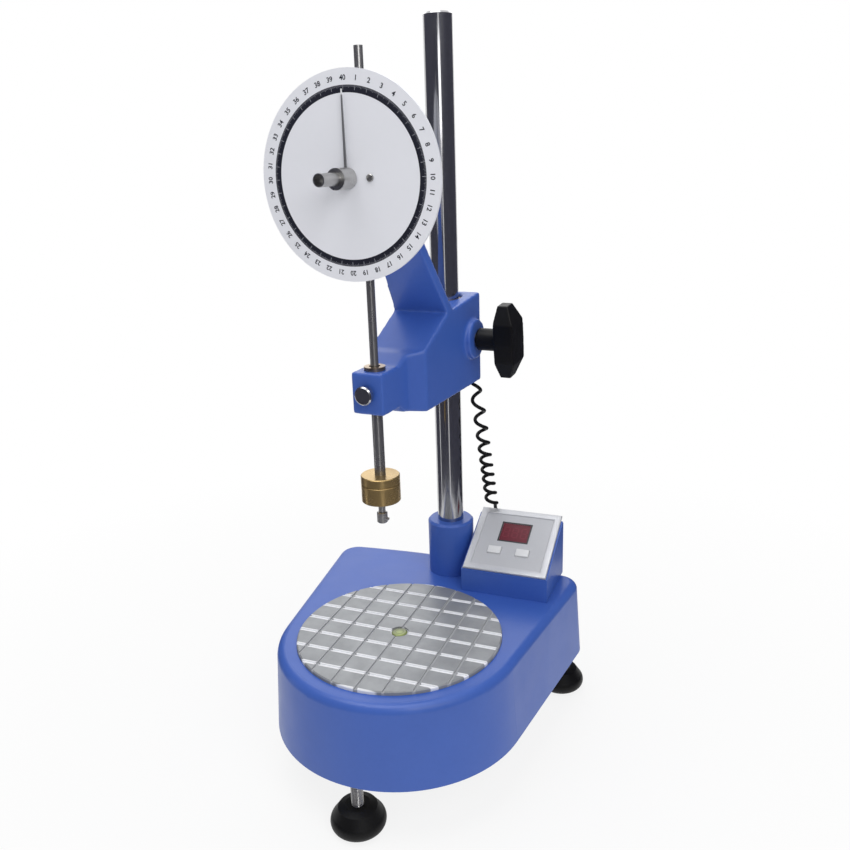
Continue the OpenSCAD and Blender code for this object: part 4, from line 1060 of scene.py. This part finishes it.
class PENETROMETER_OT_timer(bpy.types.Operator):
    """Timer's frame, film, display and keys"""

    bl_idname = "penetrometer.timer"
    bl_label = "Timer"

    def execute(self, context):
        tint = colours()
        satin, black = bpy.data.materials["satin_frame"], bpy.data.materials["foot_moulding"]
        film = skin_material("panel_film", tint.film, 0.42, drift=0.03, grain=900.0,
                             depth=0.01 * MM)
        rounded_copy("timer_bezel", "timer_frame", satin, radius=0.7 * MM, shortest=6 * MM)
        dress(film, "timer_panel")
        dress(black, "display_module")
        dress(window_material(), "display_window")

        panel = panel_frame()
        base = panel.translation
        x0, x1 = (place - base.x for place in extent("display_window", RIGHT))
        y0, y1 = (place - base.dot(PANEL_UP) for place in extent("display_window", PANEL_UP))
        sunk = extent("timer_panel", PANEL_OUT)[1] - base.dot(PANEL_OUT)
        dark = skin_material("display_border", (0.03, 0.03, 0.035), 0.4, drift=0.1)
        wide, thick, bite = 1.3 * MM, 0.25 * MM, 0.05 * MM
        left, right = x0 - wide, x1 + wide
        strips = (((left, y0 - wide), (right, y0)), ((left, y1), (right, y1 + wide)),
                  ((left, y0), (x0, y1)), ((x1, y0), (right, y1)))
        bm = bmesh.new()
        for low, high in strips:
            add_box(bm, panel, (*low, sunk - bite), (*high, sunk + thick))
        new_piece("display_border", bm, "base", dark)

        segment = skin_material("display_segment", (0.19, 0.022, 0.04), 0.4, drift=0.1, gloss=0.3)
        glass_top = extent("display_window", PANEL_OUT)[1] - base.dot(PANEL_OUT)
        digit_w, digit_h, digit_pitch = 6.4 * MM, 12.5 * MM, 8.61 * MM
        stroke, raised = 1.3 * MM, 0.06 * MM
        bm = bmesh.new()
        for column in (-1, 0, 1):
            x, y = (x0 + x1) / 2 + column * digit_pitch, (y0 + y1) / 2
            spot = panel @ Matrix.Translation((x, y, glass_top))
            add_digit(bm, spot, digit_w, digit_h, stroke, raised)
        new_piece("display_digits", bm, "base", segment)

        white = skin_material("key_caps", (0.78, 0.79, 0.81), 0.4, drift=0.03, grain=900.0,
                              depth=0.012 * MM)
        for side in ("left", "right"):
            rounded_copy("key_" + side, "key_cap_" + side, white, radius=0.6 * MM, shortest=3 * MM)
        board = skin_material("circuit_board", (0.02, 0.12, 0.05), 0.5, drift=0.3, grain=500.0)
        dress(board, "timer_board")
        inlet = skin_material("inlet_moulding", tint.moulding, 0.45, drift=0.1, grain=900.0,
                              marks=0.1)
        dress(inlet, "mains_inlet")
        return {"FINISHED"}


def add_digit(bm, matrix, wide, tall, stroke, thick):
    """Seven bars of a figure eight."""
    half_w, half_h, s = wide / 2, tall / 2, stroke / 2
    gap = 0.25 * MM
    tip, bevel = half_w - s - gap, half_w - stroke - gap
    for y in (-half_h + s, 0, half_h - s):
        outline = [(-bevel, y - s), (bevel, y - s), (tip, y), (bevel, y + s), (-bevel, y + s),
                   (-tip, y)]
        add_plate(bm, matrix, outline, 0, thick)
    for x in (-half_w + s, half_w - s):
        for low, high in ((-half_h + s + gap, -gap), (gap, half_h - s - gap)):
            outline = [(x, low), (x + s, low + s), (x + s, high - s), (x, high), (x - s, high - s),
                       (x - s, low + s)]
            add_plate(bm, matrix, outline, 0, thick)


class PENETROMETER_OT_finishes(bpy.types.Operator):
    """Shared shader groups and the satin metal"""

    bl_idname = "penetrometer.finishes"
    bl_label = "Finishes"

    def execute(self, context):
        skin_group()
        turned_group()
        turned_material("satin_frame", colours().frame, 0.42, (1, 0.3, 0.2), lines=1500.0,
                        contrast=0.05, stain=0.05, metal=0.35)
        return {"FINISHED"}


class PENETROMETER_PT_panel(bpy.types.Panel):
    """Lists the steps that dress the penetrometer"""

    bl_idname = "PENETROMETER_PT_panel"
    bl_label = "Penetrometer"
    bl_space_type = "VIEW_3D"
    bl_region_type = "UI"
    bl_category = "Penetrometer"

    def draw(self, context):
        for step in STEPS:
            self.layout.operator(step.bl_idname, text=step.bl_label)
        for group in (sizes(), colours(), context.scene.penetrometer_stage):
            box = self.layout.box()
            for name in group.__annotations__:
                box.prop(group, name)


STEPS = (
    PENETROMETER_OT_finishes, PENETROMETER_OT_stage, PENETROMETER_OT_cord, PENETROMETER_OT_castings,
    PENETROMETER_OT_table, PENETROMETER_OT_metal, PENETROMETER_OT_feet, PENETROMETER_OT_knob,
    PENETROMETER_OT_dial, PENETROMETER_OT_timer)
SETTINGS = {"sizes": PenetrometerSizes, "colours": PenetrometerColours, "stage": PenetrometerStage}


def register():
    for cls in (*SETTINGS.values(), *STEPS, PENETROMETER_PT_panel):
        bpy.utils.register_class(cls)
    for name, cls in SETTINGS.items():
        setattr(bpy.types.Scene, "penetrometer_" + name, bpy.props.PointerProperty(type=cls))


def unregister():
    for name in SETTINGS:
        delattr(bpy.types.Scene, "penetrometer_" + name)
    for cls in (PENETROMETER_PT_panel, *reversed(STEPS), *SETTINGS.values()):
        bpy.utils.unregister_class(cls)


def main():
    register()
    bpy.ops.penetrometer.finishes()
    bpy.ops.penetrometer.stage()
    bpy.ops.penetrometer.cord()
    bpy.ops.penetrometer.castings()
    bpy.ops.penetrometer.table()
    bpy.ops.penetrometer.metal()
    bpy.ops.penetrometer.feet()
    bpy.ops.penetrometer.knob()
    bpy.ops.penetrometer.dial()
    bpy.ops.penetrometer.timer()


if __name__ == "__main__":
    main()
